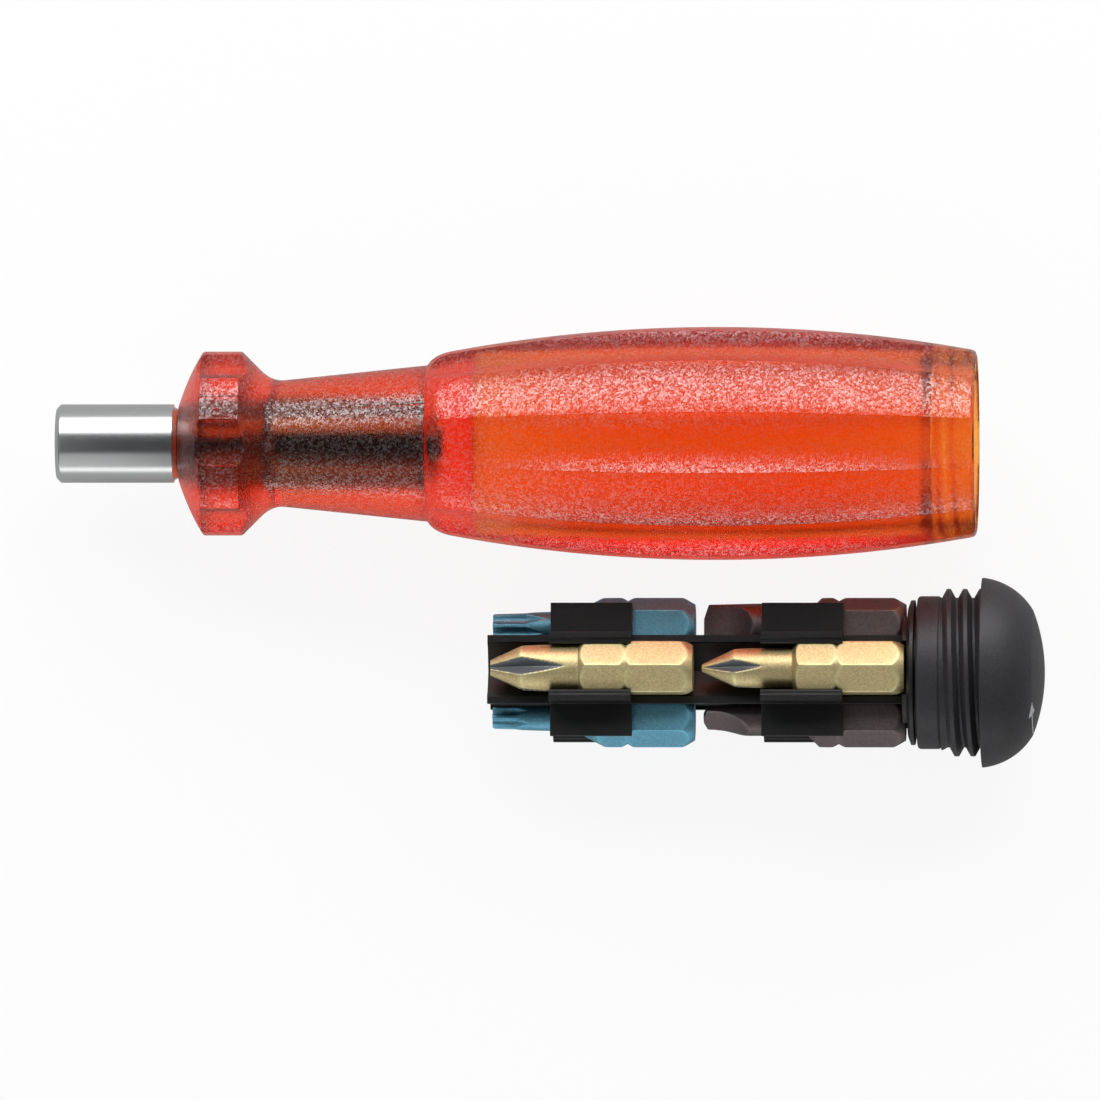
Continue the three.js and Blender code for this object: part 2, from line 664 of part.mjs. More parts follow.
const handleGroup = new THREE.Group();
handleGroup.add(
  piece("handle", handleGeometry(), RED, 0.35, 0),
  piece("shank", shankGeometry(), STEEL, 0.35, 1),
  piece("socket_sleeve", sleeveGeometry(), STEEL, 0.25, 1),
  piece("magnet", magnetGeometry(), STEEL, 0.3, 1),
);

const magazineGroup = new THREE.Group();
const rolled = new THREE.Group();
rolled.rotation.x = -radians(MAGAZINE_ROLL);
rolled.add(
  piece("magazine", magazineGeometry(), BLACK, 0.55, 0),
  piece("cap", capGeometry(), BLACK, 0.6, 0),
);
for (const { name, row, side, twist, color, form } of BITS) {
  const channel = new THREE.Group();
  const bit = piece(name, form, color, 0.35, 1);
  channel.rotation.x = radians(side);
  bit.position.set(BIT_START + row * ROW_PITCH, 0, BIT_CIRCLE);
  bit.rotation.x = radians(twist);
  channel.add(bit);
  rolled.add(channel);
}
magazineGroup.add(rolled);

for (const group of [handleGroup, magazineGroup]) {
  layDown(group);
}
magazineGroup.position.x = MAGAZINE_OFFSET;
magazineGroup.position.y = -AXIS_SPACING;

const screwdriver = new THREE.Group();
screwdriver.add(handleGroup, magazineGroup);
const box = new THREE.Box3().setFromObject(screwdriver, true);
const middle = box.getCenter(new THREE.Vector3());
screwdriver.position.set(-middle.x, -middle.y, 0);

export default screwdriver;
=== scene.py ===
import json
import math

import bmesh
import bpy
import numpy as np
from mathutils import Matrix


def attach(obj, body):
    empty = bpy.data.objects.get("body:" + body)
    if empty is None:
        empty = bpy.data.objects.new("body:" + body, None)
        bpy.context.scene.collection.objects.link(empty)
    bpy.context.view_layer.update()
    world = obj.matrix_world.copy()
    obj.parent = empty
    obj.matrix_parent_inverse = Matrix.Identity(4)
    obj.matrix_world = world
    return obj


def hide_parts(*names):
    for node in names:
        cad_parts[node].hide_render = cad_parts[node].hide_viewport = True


bl_info = {
    "name": "Bit holder screwdriver",
    "version": (1, 0, 0),
    "blender": (4, 5, 0),
    "location": "View3D > Sidebar > Screwdriver",
    "description": "Handle, socket, bit magazine, cap and bits of a bit holder screwdriver",
    "category": "Object",
}

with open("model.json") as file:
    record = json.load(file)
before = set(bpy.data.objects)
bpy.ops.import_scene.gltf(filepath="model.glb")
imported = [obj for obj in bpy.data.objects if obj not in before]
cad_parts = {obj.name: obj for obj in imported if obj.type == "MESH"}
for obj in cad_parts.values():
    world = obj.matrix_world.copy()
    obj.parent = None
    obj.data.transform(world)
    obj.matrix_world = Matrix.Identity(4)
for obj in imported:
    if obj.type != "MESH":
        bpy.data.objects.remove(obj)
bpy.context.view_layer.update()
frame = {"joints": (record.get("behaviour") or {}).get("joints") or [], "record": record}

MM = 0.001
TURN = 2 * math.pi


# Settings


def length(name, description, millimetres):
    """A length, kept in metres; its default is written in millimetres."""
    return bpy.props.FloatProperty(
        name=name, description=description, default=millimetres * MM, unit="LENGTH", precision=5
    )


def tint(name, description, colour):
    """A scene linear colour."""
    return bpy.props.FloatVectorProperty(
        name=name, description=description, default=colour, subtype="COLOR", min=0, max=1
    )


def share(name, description, value):
    """A number from 0 to 1."""
    return bpy.props.FloatProperty(
        name=name, description=description, default=value, subtype="FACTOR", min=0, max=1
    )


class HandleSettings(bpy.types.PropertyGroup):
    """Sizes and finish of the red handle, measured from the front of the sleeve."""

    front: length("Front", "Where the handle starts behind the sleeve", 15.16)
    front_radius: length("Front radius", "Radius of the flat front", 4.8)
    collar_front: length("Collar front", "Front edge of the collar", 18.2)
    collar_back: length("Collar back", "Back edge of the collar", 22.95)
    collar_radius: length("Collar radius", "Radius over the lands of the collar", 11.36)
    collar_flute: length("Collar flute", "Depth of the hollows in the collar", 0.4)
    neck_front: length("Neck front", "Where the neck is thinnest", 28.2)
    neck_front_radius: length("Neck front radius", "Radius of the thin end of the neck", 7.83)
    neck_back: length("Neck back", "Where the neck meets the shoulder", 45.9)
    neck_back_radius: length("Neck back radius", "Radius of the neck at the shoulder", 9.66)
    shoulder: length("Shoulder", "Length of the rounded shoulder", 3.1)
    crest: length("Crest", "Where the barrel is thickest", 81.5)
    barrel_radius: length("Barrel radius", "Largest radius of the barrel", 14.38)
    swell: length("Swell", "Radius of the barrel's long curve", 180)
    barrel_flute: length("Barrel flute", "Depth of the hollows at the ends of the barrel", 0.3)
    flute_swell: length("Flute swell", "How much deeper the hollows are where the barrel is thickest", 0.55)
    flute_reach: length("Flute reach", "From the thickest place to where the hollows are shallow", 31)
    end: length("End", "Where the open end of the handle lies", 113.7)
    bore: length("Bore", "Radius of the bore for the magazine", 9.616)
    bore_bottom: length("Bore bottom", "Where the bore ends", 52.09)
    mouth: length("Mouth", "Radius of the mouth in the valleys of its thread", 10.65)
    mouth_bottom: length("Mouth bottom", "Where the thread of the mouth ends", 108.34)
    thread_height: length("Thread height", "Height of the inner thread", 0.25)
    grain: length("Grain", "Size of the grain on the surface", 0.23)
    tint: tint("Tint", "Colour of the surface of the plastic", (0.96, 0.385, 0.07))
    stain: tint("Stain", "Colour that passes through the plastic", (0.965, 0.2, 0.0))
    density: bpy.props.FloatProperty(
        name="Density", description="Strength of the stain, per metre", default=160.0, min=0
    )
    relief: length("Relief", "Height of the grain", 0.034)
    roughness: share("Roughness", "Blur of the moulded surface", 0.3)
    gloss: share("Gloss", "Strength of the brightest sparkles on the outside", 0.95)


class SteelSettings(bpy.types.PropertyGroup):
    """Sizes and finish of the sleeve, the shank and the magnet."""

    sleeve_length: length("Sleeve length", "Length of the sleeve", 15.06)
    sleeve_radius: length("Sleeve radius", "Radius of the sleeve", 4.85)
    sleeve_bevel: length("Sleeve bevel", "Bevel at the front of the sleeve", 0.55)
    ring_length: length("Ring length", "Length of the thinner ring at the back", 0.55)
    ring_drop: length("Ring drop", "How far the ring stands back", 0.3)
    socket_flats: length("Socket flats", "Width of the hex socket across its flats", 6.5)
    socket_depth: length("Socket depth", "Depth of the hex socket down to the magnet", 8.5)
    magnet_radius: length("Magnet radius", "Radius of the magnet", 3)
    magnet_length: length("Magnet length", "Length of the magnet", 2.5)
    shank_radius: length("Shank radius", "Radius of the shank in the handle", 4)
    spigot_radius: length("Spigot radius", "Radius of the shank in the sleeve", 3.6)
    shank_end: length("Shank end", "Where the shank ends in the handle", 48.5)
    # Painted shade: the shank is set much darker than the sleeve's steel, for the dark core seen through the
    # neck
    shank_steel: tint("Shank steel", "Colour of the shank in the handle", (0.12, 0.12, 0.12))
    steel: tint("Steel", "Colour of the steel", (0.62, 0.63, 0.63))
    roughness: share("Roughness", "Blur of the turned steel", 0.25)


class MagazineSettings(bpy.types.PropertyGroup):
    """Sizes and finish of the black bit magazine, measured from its open end."""

    arm_outside: length("Arm outside", "From the axis to the outside of the clip arms", 4.25)
    reach: length("Reach", "From the axis to the tips of the clip arms", 8.26)
    lip_gap: length("Lip gap", "Half the gap between two lips", 2.8)
    lip_height: length("Lip height", "From the axis to the edge of the lips", 7.72)
    lip_start: length("Lip start", "From the axis to where the lips start", 7.0)
    clip_start: length("Clip start", "Where the clips of the first row start", 7.8)
    clip_length: length("Clip length", "Length of the clips", 10.1)
    disc_radius: length("Disc radius", "Radius of the front of the end disc", 7.4)
    flange_radius: length("Flange radius", "Radius of the flange at the cap", 9)
    spigot_radius: length("Spigot radius", "Radius of the snap spigot", 7.6)
    bevel: length("Bevel", "Width of the rounded edges", 0.07)
    colour: tint("Colour", "Colour of the plastic", (0.011, 0.011, 0.012))
    roughness: share("Roughness", "Blur of the moulded surface", 0.42)


class CapSettings(bpy.types.PropertyGroup):
    """Sizes and finish of the black cap, measured from the magazine's open end."""

    plug_start: length("Plug start", "Front of the plug", 53.05)
    plug_radius: length("Plug radius", "Radius of the plug", 9.45)
    thread_start: length("Thread start", "Where the thread starts on the plug", 55.95)
    root_radius: length("Root radius", "Radius in the valleys of the thread", 9.25)
    crest_radius: length("Crest radius", "Radius over the crests of the thread", 10.35)
    pitch: length("Pitch", "Pitch of the closing thread", 2.0)
    underside: length("Underside", "Where the dome starts", 61.01)
    dome_radius: length("Dome radius", "Radius of the rim of the dome", 11.74)
    side_height: length("Side height", "Height of the curved side of the dome", 6.3)
    side_curve: length("Side curve", "Radius of the curve up the side", 8.25)
    crown_radius: length("Crown radius", "Radius of the flat crown", 7.7)
    crown_height: length("Crown height", "Height of the crown over the side", 1.43)
    colour: tint("Colour", "Colour of the plastic", (0.034, 0.032, 0.037))
    mark: tint("Mark", "Colour of the printed arrow", (0.75, 0.78, 0.8))
    roughness: share("Roughness", "Blur of the moulded surface", 0.5)


class BitSettings(bpy.types.PropertyGroup):
    """Sizes and finishes of the hex bits."""

    length: length("Length", "Length of a bit", 25)
    flats: length("Flats", "Width of the hex across its flats", 6.35)
    rear_radius: length("Rear radius", "Radius of the flat end of the hex", 2.8)
    notch: length("Notch", "From the rear to the notches in the corners", 8.3)
    notch_width: length("Notch width", "Half the width of a notch", 0.77)
    notch_depth: length("Notch depth", "Depth of a notch", 0.45)
    edge: length("Edge", "How far the edges are rounded", 0.05)
    circle: length("Circle", "From the magazine's axis to a bit's axis", 5.65)
    start: length("Start", "From the open end to the first row of bits", 0.5)
    pitch: length("Pitch", "From one row of bits to the next", 26.1)
    gold: tint("Gold", "Coating of the cross bits", (0.78, 0.65, 0.35))
    blue: tint("Blue", "Coating of the star bits", (0.2, 0.5, 0.66))
    bronze: tint("Bronze", "Coating of the slotted bits", (0.19, 0.155, 0.16))
    ground: tint("Ground", "Steel of the ground flutes", (0.2, 0.215, 0.225))
    roughness: share("Roughness", "Blur of the coatings", 0.52)


class StageSettings(bpy.types.PropertyGroup):
    """Light, floor and camera."""

    distance: length("Distance", "From the camera to the table", 3000)
    view_width: length("View width", "Width that the camera sees at the height of the axes", 135.8)
    view_height: length("View height", "Height at which the view has that width", 13)
    view_shift: length("View shift", "How far the camera stands to the side of the middle", -0.33)
    key: bpy.props.FloatProperty(
        name="Key light", description="Brightness of the panel beside the handle", default=3.2, min=0
    )
    fill: bpy.props.FloatProperty(
        name="Fill light", description="Brightness of the panel beside the sleeve", default=0.55, min=0
    )
    side: bpy.props.FloatProperty(
        name="Side light", description="Brightness of the panel beside the cap", default=0.14, min=0
    )
    low: bpy.props.FloatProperty(
        name="Low light", description="Brightness of the low panel beside the magazine", default=1.7, min=0
    )
    ends: bpy.props.FloatProperty(
        name="End lights", description="Brightness of the panels over the two ends", default=0.35, min=0
    )
    zenith: tint("Zenith", "Colour of the dark ceiling", (0.05, 0.054, 0.056))
    horizon: tint("Horizon", "Colour of the walls of the studio", (0.15, 0.15, 0.15))
    through: tint("Through", "Colour of the walls seen through the plastic", (0.6, 0.6, 0.6))
    floor: tint("Floor", "Colour of the floor where it is shaded", (0.4, 0.4, 0.4))
    glow: bpy.props.FloatProperty(
        name="Glow", description="Brightness of the floor where it glows", default=1.25, min=0
    )


class ScrewdriverSettings(bpy.types.PropertyGroup):
    """All settings of the screwdriver."""

    handle: bpy.props.PointerProperty(type=HandleSettings, name="Handle", description="Red handle")
    steel: bpy.props.PointerProperty(type=SteelSettings, name="Steel", description="Socket and shank")
    magazine: bpy.props.PointerProperty(type=MagazineSettings, name="Magazine", description="Bit magazine")
    cap: bpy.props.PointerProperty(type=CapSettings, name="Cap", description="Threaded cap")
    bits: bpy.props.PointerProperty(type=BitSettings, name="Bits", description="Hex bits")
    stage: bpy.props.PointerProperty(type=StageSettings, name="Stage", description="Light and camera")


# Places in the shared frame


class Place:
    """A turned piece's own axes: x along it, z up, y to the side, in metres."""

    def __init__(self, origin, along, up):
        self.origin = np.asarray(origin, float)
        self.axes = np.array([along, np.cross(up, along), up], float)

    def out(self, points):
        """Points of the piece in the shared frame: origin + x along + y side + z up."""
        return self.origin + points @ self.axes


def handle_place(steel):
    """The handle's axis runs from the bit seat against the way that the seat faces."""
    seat = next(m for m in frame["record"]["mounts"] if m["name"] == "bit_seat")
    along = -np.asarray(seat["axis"], float)
    up = np.array([-along[2], 0.0, along[0]])
    return Place(np.asarray(seat["pos_m"]) - steel.socket_depth * along, along, up)


TURN_POINT = 56 * MM  # from the magazine's open end to the point that the cap's joint names


def magazine_place():
    """The magazine's axis is the cap's, and its upper channel opens the way its bit comes out."""
    joints = {joint["name"]: joint for joint in frame["joints"]}
    along = np.asarray(joints["cap_turn"]["axis"], float)
    up = np.asarray(joints["cross_2_release"]["axis"], float)
    return Place(np.asarray(joints["cap_turn"]["pos_m"]) - TURN_POINT * along, along, up)


# Curves and surfaces


def bezier(start, control, end, steps):
    """Quadratic curve (1 - t)^2 start + 2 t (1 - t) control + t^2 end."""
    t = np.linspace(0, 1, steps)[:, None]
    return (1 - t) ** 2 * np.array(start) + 2 * t * (1 - t) * np.array(control) + t**2 * np.array(end)


def bend(start, start_slope, end, end_slope, steps):
    """Quadratic curve between two points that leaves and arrives at the given slopes."""
    (x0, r0), (x1, r1) = start, end
    x = (r1 - r0 + start_slope * x0 - end_slope * x1) / (start_slope - end_slope)
    return bezier(start, (x, r0 + start_slope * (x - x0)), end, steps)


def eased(corners, steps=5):
    """Straight lines through corners (x, r, reach), each corner eased by a curve of that reach."""
    points = np.array([corner[:2] for corner in corners], float)
    line = [points[:1]]
    for before, at, after, (_, _, reach) in zip(points, points[1:], points[2:], corners[1:-1]):
        if reach == 0:
            line.append(at[None])
            continue
        back = (before - at) / np.linalg.norm(before - at)
        on = (after - at) / np.linalg.norm(after - at)
        line.append(bezier(at + reach * back, at, at + reach * on, steps))
    line.append(points[-1:])
    return np.concatenate(line)


def arc(centre, radius, start_angle, end_angle, steps):
    """Part of a circle: centre + radius (cos, sin) between two angles."""
    angles = np.linspace(start_angle, end_angle, steps)
    return np.array(centre) + radius * np.stack([np.cos(angles), np.sin(angles)], axis=1)


def angles_round(count, near=(), width=0.0):
    """Angles once round, evenly spaced, with nine more close to each place in near."""
    even = np.linspace(-math.pi, math.pi, count, endpoint=False)
    offsets = width * np.array([-1, -0.6, -0.3, -0.1, 0, 0.1, 0.3, 0.6, 1])
    extra = (np.asarray(near)[:, None] + offsets).ravel() if len(near) else np.array([])
    extra = (extra + math.pi) % TURN - math.pi
    return np.unique(np.round(np.concatenate([even, extra]), 7))


def turned(x, radius, angles):
    """Rows along x, columns round the axis: (x, r sin angle, r cos angle)."""
    x, radius, angles = np.broadcast_arrays(x, radius, angles)
    return np.stack([x, radius * np.sin(angles), radius * np.cos(angles)], axis=-1)


def soft_min(surfaces, width):
    """Smallest of several radii with its edges rounded, -w log sum exp(-r / w), and how near
    the two smallest are to each other, from 0 to 1 on an edge."""
    stack = np.stack(np.broadcast_arrays(*surfaces))
    low = np.sort(stack, axis=0)[:2]
    rounded = low[0] - width * np.log(np.exp((low[0] - stack) / width).sum(axis=0))
    return rounded, np.exp((low[0] - low[1]) / (3 * width))


def ridge(x, angles, start, pitch, crest, base):
    """Height from 0 to 1 of a right-hand helical ridge and its turn, counted from start: a
    trapezoid round the line x = start + pitch (turn), turn = k - angle / 2 pi."""
    turn = np.round((x - start) / pitch + angles / TURN) - angles / TURN
    off = np.abs(x - start - pitch * turn)
    return np.clip((base / 2 - off) / ((base - crest) / 2), 0, 1), turn


def smooth_step(value, low, high):
    """0 below low, 1 above high, 3 t^2 - 2 t^3 between."""
    t = np.clip((value - low) / (high - low), 0, 1)
    return t * t * (3 - 2 * t)


def rows_between(*stretches):
    """Places along an axis from (from, to, step) stretches, in order."""
    made = [np.linspace(a, b, max(2, round((b - a) / step) + 1)) for a, b, step in stretches]
    return np.unique(np.round(np.concatenate(made), 8))


def mesh_of(name, points, ring=False):
    """A mesh of quads between neighbours in a (rows, columns, 3) array whose columns go round.
    A ring also joins its last row to its first; otherwise a point closes each end."""
    rows, columns = points.shape[:2]
    index = np.arange(rows * columns).reshape(rows, columns)
    index = np.concatenate([index, index[:, :1]], axis=1)
    vertices = points.reshape(-1, 3)
    if ring:
        index = np.concatenate([index, index[:1]])
        ends = np.zeros((0, 3), int)
    else:
        vertices = np.concatenate([vertices, points[:1].mean(axis=1), points[-1:].mean(axis=1)])
        first, last = len(vertices) - 2, len(vertices) - 1
        front = np.stack([np.full(columns, first), index[0, :-1], index[0, 1:]], axis=1)
        back = np.stack([np.full(columns, last), index[-1, 1:], index[-1, :-1]], axis=1)
        ends = np.concatenate([front, back])
    neighbours = [index[:-1, :-1], index[1:, :-1], index[1:, 1:], index[:-1, 1:]]
    quads = np.stack(neighbours, axis=-1).reshape(-1, 4)
    corners = np.concatenate([quads.ravel(), ends.ravel()]).astype(np.int32)
    starts = np.concatenate([4 * np.arange(len(quads)), 4 * len(quads) + 3 * np.arange(len(ends))])
    mesh = bpy.data.meshes.new(name)
    mesh.vertices.add(len(vertices))
    mesh.vertices.foreach_set("co", vertices.astype(np.float32).ravel())
    mesh.loops.add(len(corners))
    mesh.loops.foreach_set("vertex_index", corners)
    mesh.polygons.add(len(starts))
    mesh.polygons.foreach_set("loop_start", starts.astype(np.int32))
    mesh.update(calc_edges=True)
    return mesh


def store(mesh, name, kind, field, values):
    """Writes a value for each vertex into an attribute of the mesh."""
    attribute = mesh.attributes.new(name, kind, "POINT")
    attribute.data.foreach_set(field, np.asarray(values, np.float32).ravel())


def add_piece(name, points, place, material, body, ring=False, masks=None, sharp=30):
    """Makes one piece from its grid: the attribute local keeps the piece's own coordinates, and
    each mask, one value a point, becomes an attribute of its own name."""
    mesh = mesh_of(name, points, ring)
    local = np.empty(len(mesh.vertices) * 3, np.float32)
    mesh.vertices.foreach_get("co", local)
    local = local.reshape(-1, 3)
    store(mesh, "local", "FLOAT_VECTOR", "vector", local)
    for mask, values in (masks or {}).items():
        flat = np.zeros(len(local), np.float32)
        flat[: values.size] = values.ravel()
        store(mesh, mask, "FLOAT", "value", flat)
    mesh.vertices.foreach_set("co", place.out(local.astype(float)).astype(np.float32).ravel())
    mesh.validate()
    mesh.polygons.foreach_set("use_smooth", np.ones(len(mesh.polygons), bool))
    mesh.set_sharp_from_angle(angle=math.radians(sharp))
    mesh.materials.append(material)
    mesh.update()
    piece = bpy.data.objects.new(name, mesh)
    bpy.context.scene.collection.objects.link(piece)
    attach(piece, body)
    return piece


# Finishes


def add_node(tree, kind, inputs=None, **settings):
    """Adds a node; an input is set to a value, or linked when the value is a socket."""
    made = tree.nodes.new(kind)
    for key, value in settings.items():
        setattr(made, key, value)
    for socket, value in (inputs or {}).items():
        if isinstance(value, bpy.types.NodeSocket):
            tree.links.new(value, made.inputs[socket])
        else:
            made.inputs[socket].default_value = value
    return made


def product(tree, first, second, clamp=False):
    """The product of two values."""
    inputs = {0: first, 1: second}
    return add_node(tree, "ShaderNodeMath", inputs, operation="MULTIPLY", use_clamp=clamp).outputs[0]


def effect_group(name, inputs, outputs):
    """An empty shader node group with float and vector sockets, and its two end nodes."""
    group = bpy.data.node_groups.new(name, "ShaderNodeTree")
    for direction, sockets in (("INPUT", inputs), ("OUTPUT", outputs)):
        for socket, kind in sockets.items():
            group.interface.new_socket(socket, in_out=direction, socket_type=kind)
    return group, group.nodes.new("NodeGroupInput"), group.nodes.new("NodeGroupOutput")


FLOAT = "NodeSocketFloat"
VECTOR = "NodeSocketVector"


def moulded_grain():
    """Fine pebbled grain of a moulded surface: Height of small domes, about one wide at Scale 1,
    and Speckle, which differs from dome to dome."""
    group = bpy.data.node_groups.get("moulded_grain")
    if group:
        return group
    group, given, made = effect_group(
        "moulded_grain", {"Vector": VECTOR, "Scale": FLOAT}, {"Height": FLOAT, "Speckle": FLOAT}
    )
    sockets = {"Vector": given.outputs["Vector"], "Scale": given.outputs["Scale"]}
    domes = add_node(group, "ShaderNodeTexVoronoi", {**sockets, "Smoothness": 0.5}, feature="SMOOTH_F1")
    height = add_node(
        group, "ShaderNodeMath", {0: 1.0, 1: domes.outputs["Distance"]}, operation="SUBTRACT"
    )
    cells = add_node(group, "ShaderNodeTexVoronoi", sockets, feature="F1")
    tone = add_node(group, "ShaderNodeSeparateColor", {"Color": cells.outputs["Color"]})
    group.links.new(height.outputs[0], made.inputs["Height"])
    group.links.new(tone.outputs["Red"], made.inputs["Speckle"])
    return group


def turned_lines():
    """Fine tool lines round a turned piece: noise that changes only along its axis."""
    group = bpy.data.node_groups.get("turned_lines")
    if group:
        return group
    group, given, made = effect_group(
        "turned_lines", {"Vector": VECTOR, "Spacing": FLOAT}, {"Height": FLOAT}
    )
    along = add_node(group, "ShaderNodeSeparateXYZ", {"Vector": given.outputs["Vector"]})
    noise = add_node(
        group,
        "ShaderNodeTexNoise",
        {"W": along.outputs["X"], "Scale": given.outputs["Spacing"], "Detail": 3.0, "Roughness": 0.7},
        noise_dimensions="1D",
    )
    group.links.new(noise.outputs["Fac"], made.inputs["Height"])
    return group


def painted_edge_highlight():
    """Painted highlight along the edges: an edge mask broken up by noise, standing in for the light that the
    rounded edges catch.
    """
    group = bpy.data.node_groups.get("painted_edge_highlight")
    if group:
        return group
    group, given, made = effect_group(
        "painted_edge_highlight", {"Vector": VECTOR, "Edge": FLOAT, "Amount": FLOAT}, {"Highlight": FLOAT}
    )
    noise = add_node(
        group,
        "ShaderNodeTexNoise",
        {"Vector": given.outputs["Vector"], "Scale": 900.0, "Detail": 4.0, "Roughness": 0.6},
    )
    patches = {"From Min": 0.35, "From Max": 0.65, "To Min": 0.3, "To Max": 1.0}
    broken = add_node(group, "ShaderNodeMapRange", {"Value": noise.outputs["Fac"], **patches})
    lit_edge = product(group, given.outputs["Edge"], broken.outputs["Result"])
    highlight = product(group, lit_edge, given.outputs["Amount"], clamp=True)
    group.links.new(highlight, made.inputs["Highlight"])
    return group


def new_finish(name):
    """A material with an empty tree, its output, its Principled shader and the local attribute."""
    material = bpy.data.materials.new(name)
    material.use_nodes = True
    tree = material.node_tree
    tree.nodes.clear()
    output = tree.nodes.new("ShaderNodeOutputMaterial")
    shader = tree.nodes.new("ShaderNodeBsdfPrincipled")
    tree.links.new(shader.outputs["BSDF"], output.inputs["Surface"])
    local = add_node(tree, "ShaderNodeAttribute", attribute_name="local")
    return material, tree, shader, local.outputs["Vector"]


def place_group(tree, group, inputs):
    """Puts a shared effect into a material with its own values."""
    return add_node(tree, "ShaderNodeGroup", inputs, node_tree=group)


def set_shader(shader, **values):
    """Sets plain values on the shader's own sockets."""
    for name, value in values.items():
        socket = shader.inputs[name.replace("_", " ")]
        socket.default_value = value


def mapped(tree, value, low, high):
    """A value from 0 to 1 spread between low and high."""
    return add_node(
        tree, "ShaderNodeMapRange", {"Value": value, "To Min": low, "To Max": high}
    ).outputs["Result"]


def bumped(tree, height, strength, distance):
    """Normals of a surface that a height raises."""
    inputs = {"Height": height, "Strength": strength, "Distance": distance}
    return add_node(tree, "ShaderNodeBump", inputs).outputs["Normal"]


def mixed_colour(tree, factor, first, second):
    """A colour between two colours."""
    mix = add_node(tree, "ShaderNodeMix", data_type="RGBA")
    for socket, value in ((mix.inputs["Factor"], factor), (mix.inputs[6], first), (mix.inputs[7], second)):
        if isinstance(value, bpy.types.NodeSocket):
            tree.links.new(value, socket)
        else:
            socket.default_value = value
    return mix.outputs[2]


def rgba(colour, scale=1.0):
    """A colour property as four numbers."""
    return (*[min(1.0, part * scale) for part in colour], 1.0)


def red_plastic(settings):
    """Clear red plastic: light is stained on its way through, and the skin is finely grained, with
    a gloss that is the square of each dome's speckle, so few domes sparkle."""
    material, tree, shader, local = new_finish("frosted_red")
    grain = place_group(tree, moulded_grain(), {"Vector": local, "Scale": 1 / settings.grain})
    set_shader(shader, Transmission_Weight=1.0, IOR=1.475)
    set_shader(shader, Specular_Tint=(0.35, 0.35, 0.35, 1.0), Coat_Roughness=0.28, Coat_IOR=2.5)
    tree.links.new(
        mixed_colour(tree, grain.outputs["Speckle"], rgba(settings.tint, 0.9), rgba(settings.tint, 1.2)),
        shader.inputs["Base Color"],
    )
    spread = mapped(tree, grain.outputs["Speckle"], settings.roughness * 0.95, settings.roughness * 1.1)
    tree.links.new(spread, shader.inputs["Roughness"])
    skin = add_node(tree, "ShaderNodeAttribute", attribute_name="skin").outputs["Fac"]
    bright = mapped(tree, grain.outputs["Speckle"], 0.0, math.sqrt(settings.gloss))
    tree.links.new(product(tree, skin, product(tree, bright, bright)), shader.inputs["Coat Weight"])
    height = product(tree, grain.outputs["Height"], skin)
    tree.links.new(bumped(tree, height, 1.0, settings.relief), shader.inputs["Normal"])
    stain = add_node(
        tree, "ShaderNodeVolumeAbsorption", {"Color": rgba(settings.stain), "Density": settings.density}
    )
    output = next(n for n in tree.nodes if n.type == "OUTPUT_MATERIAL")
    tree.links.new(stain.outputs["Volume"], output.inputs["Volume"])
    return material


def turned_steel(name, colour, roughness, spacing):
    """Bright turned steel with fine tool lines round it."""
    material, tree, shader, local = new_finish(name)
    lines = place_group(tree, turned_lines(), {"Vector": local, "Spacing": 1 / spacing})
    set_shader(shader, Metallic=1.0)
    tree.links.new(
        mixed_colour(tree, lines.outputs["Height"], rgba(colour, 0.88), rgba(colour, 1.1)),
        shader.inputs["Base Color"],
    )
    tree.links.new(
        mapped(tree, lines.outputs["Height"], roughness * 0.85, roughness * 1.15), shader.inputs["Roughness"]
    )
    tree.links.new(bumped(tree, lines.outputs["Height"], 0.12, 0.02 * MM), shader.inputs["Normal"])
    return material


def black_plastic(name, colour, roughness, grain_size, relief):
    """Dark moulded plastic with a fine grain."""
    material, tree, shader, local = new_finish(name)
    grain = place_group(tree, moulded_grain(), {"Vector": local, "Scale": 1 / grain_size})
    tree.links.new(
        mixed_colour(tree, grain.outputs["Speckle"], rgba(colour, 1.15), rgba(colour, 0.88)),
        shader.inputs["Base Color"],
    )
    tree.links.new(
        mapped(tree, grain.outputs["Height"], roughness * 0.85, roughness * 1.15), shader.inputs["Roughness"]
    )
    tree.links.new(bumped(tree, grain.outputs["Height"], relief, 0.05 * MM), shader.inputs["Normal"])
    return material


def coated_bit(name, colour, ground, roughness):
    """A satin coating on a steel bit: speckled, with a painted highlight of lighter colour along the edges,
    bare where it was ground.
    """
    material, tree, shader, local = new_finish(name)
    grain = place_group(tree, moulded_grain(), {"Vector": local, "Scale": 7500.0})
    edge = add_node(tree, "ShaderNodeAttribute", attribute_name="edge")
    bare = add_node(tree, "ShaderNodeAttribute", attribute_name="bare")
    # Painted highlight: the coating is made lighter along the edges, where the rounded edges catch the light
    highlight = place_group(tree, painted_edge_highlight(), {"Vector": local, "Edge": edge.outputs["Fac"], "Amount": 0.8})
    set_shader(shader, Metallic=1.0)
    coat = mixed_colour(tree, grain.outputs["Speckle"], rgba(colour, 1.12), rgba(colour, 0.82))
    highlighted = mixed_colour(tree, highlight.outputs["Highlight"], coat, rgba(colour, 1.6))
    shown = mixed_colour(tree, bare.outputs["Fac"], highlighted, rgba(ground))
    tree.links.new(shown, shader.inputs["Base Color"])
    tree.links.new(
        mapped(tree, grain.outputs["Height"], roughness * 0.8, roughness * 1.25), shader.inputs["Roughness"]
    )
    tree.links.new(bumped(tree, grain.outputs["Height"], 0.1, 0.02 * MM), shader.inputs["Normal"])
    return material


# Handle

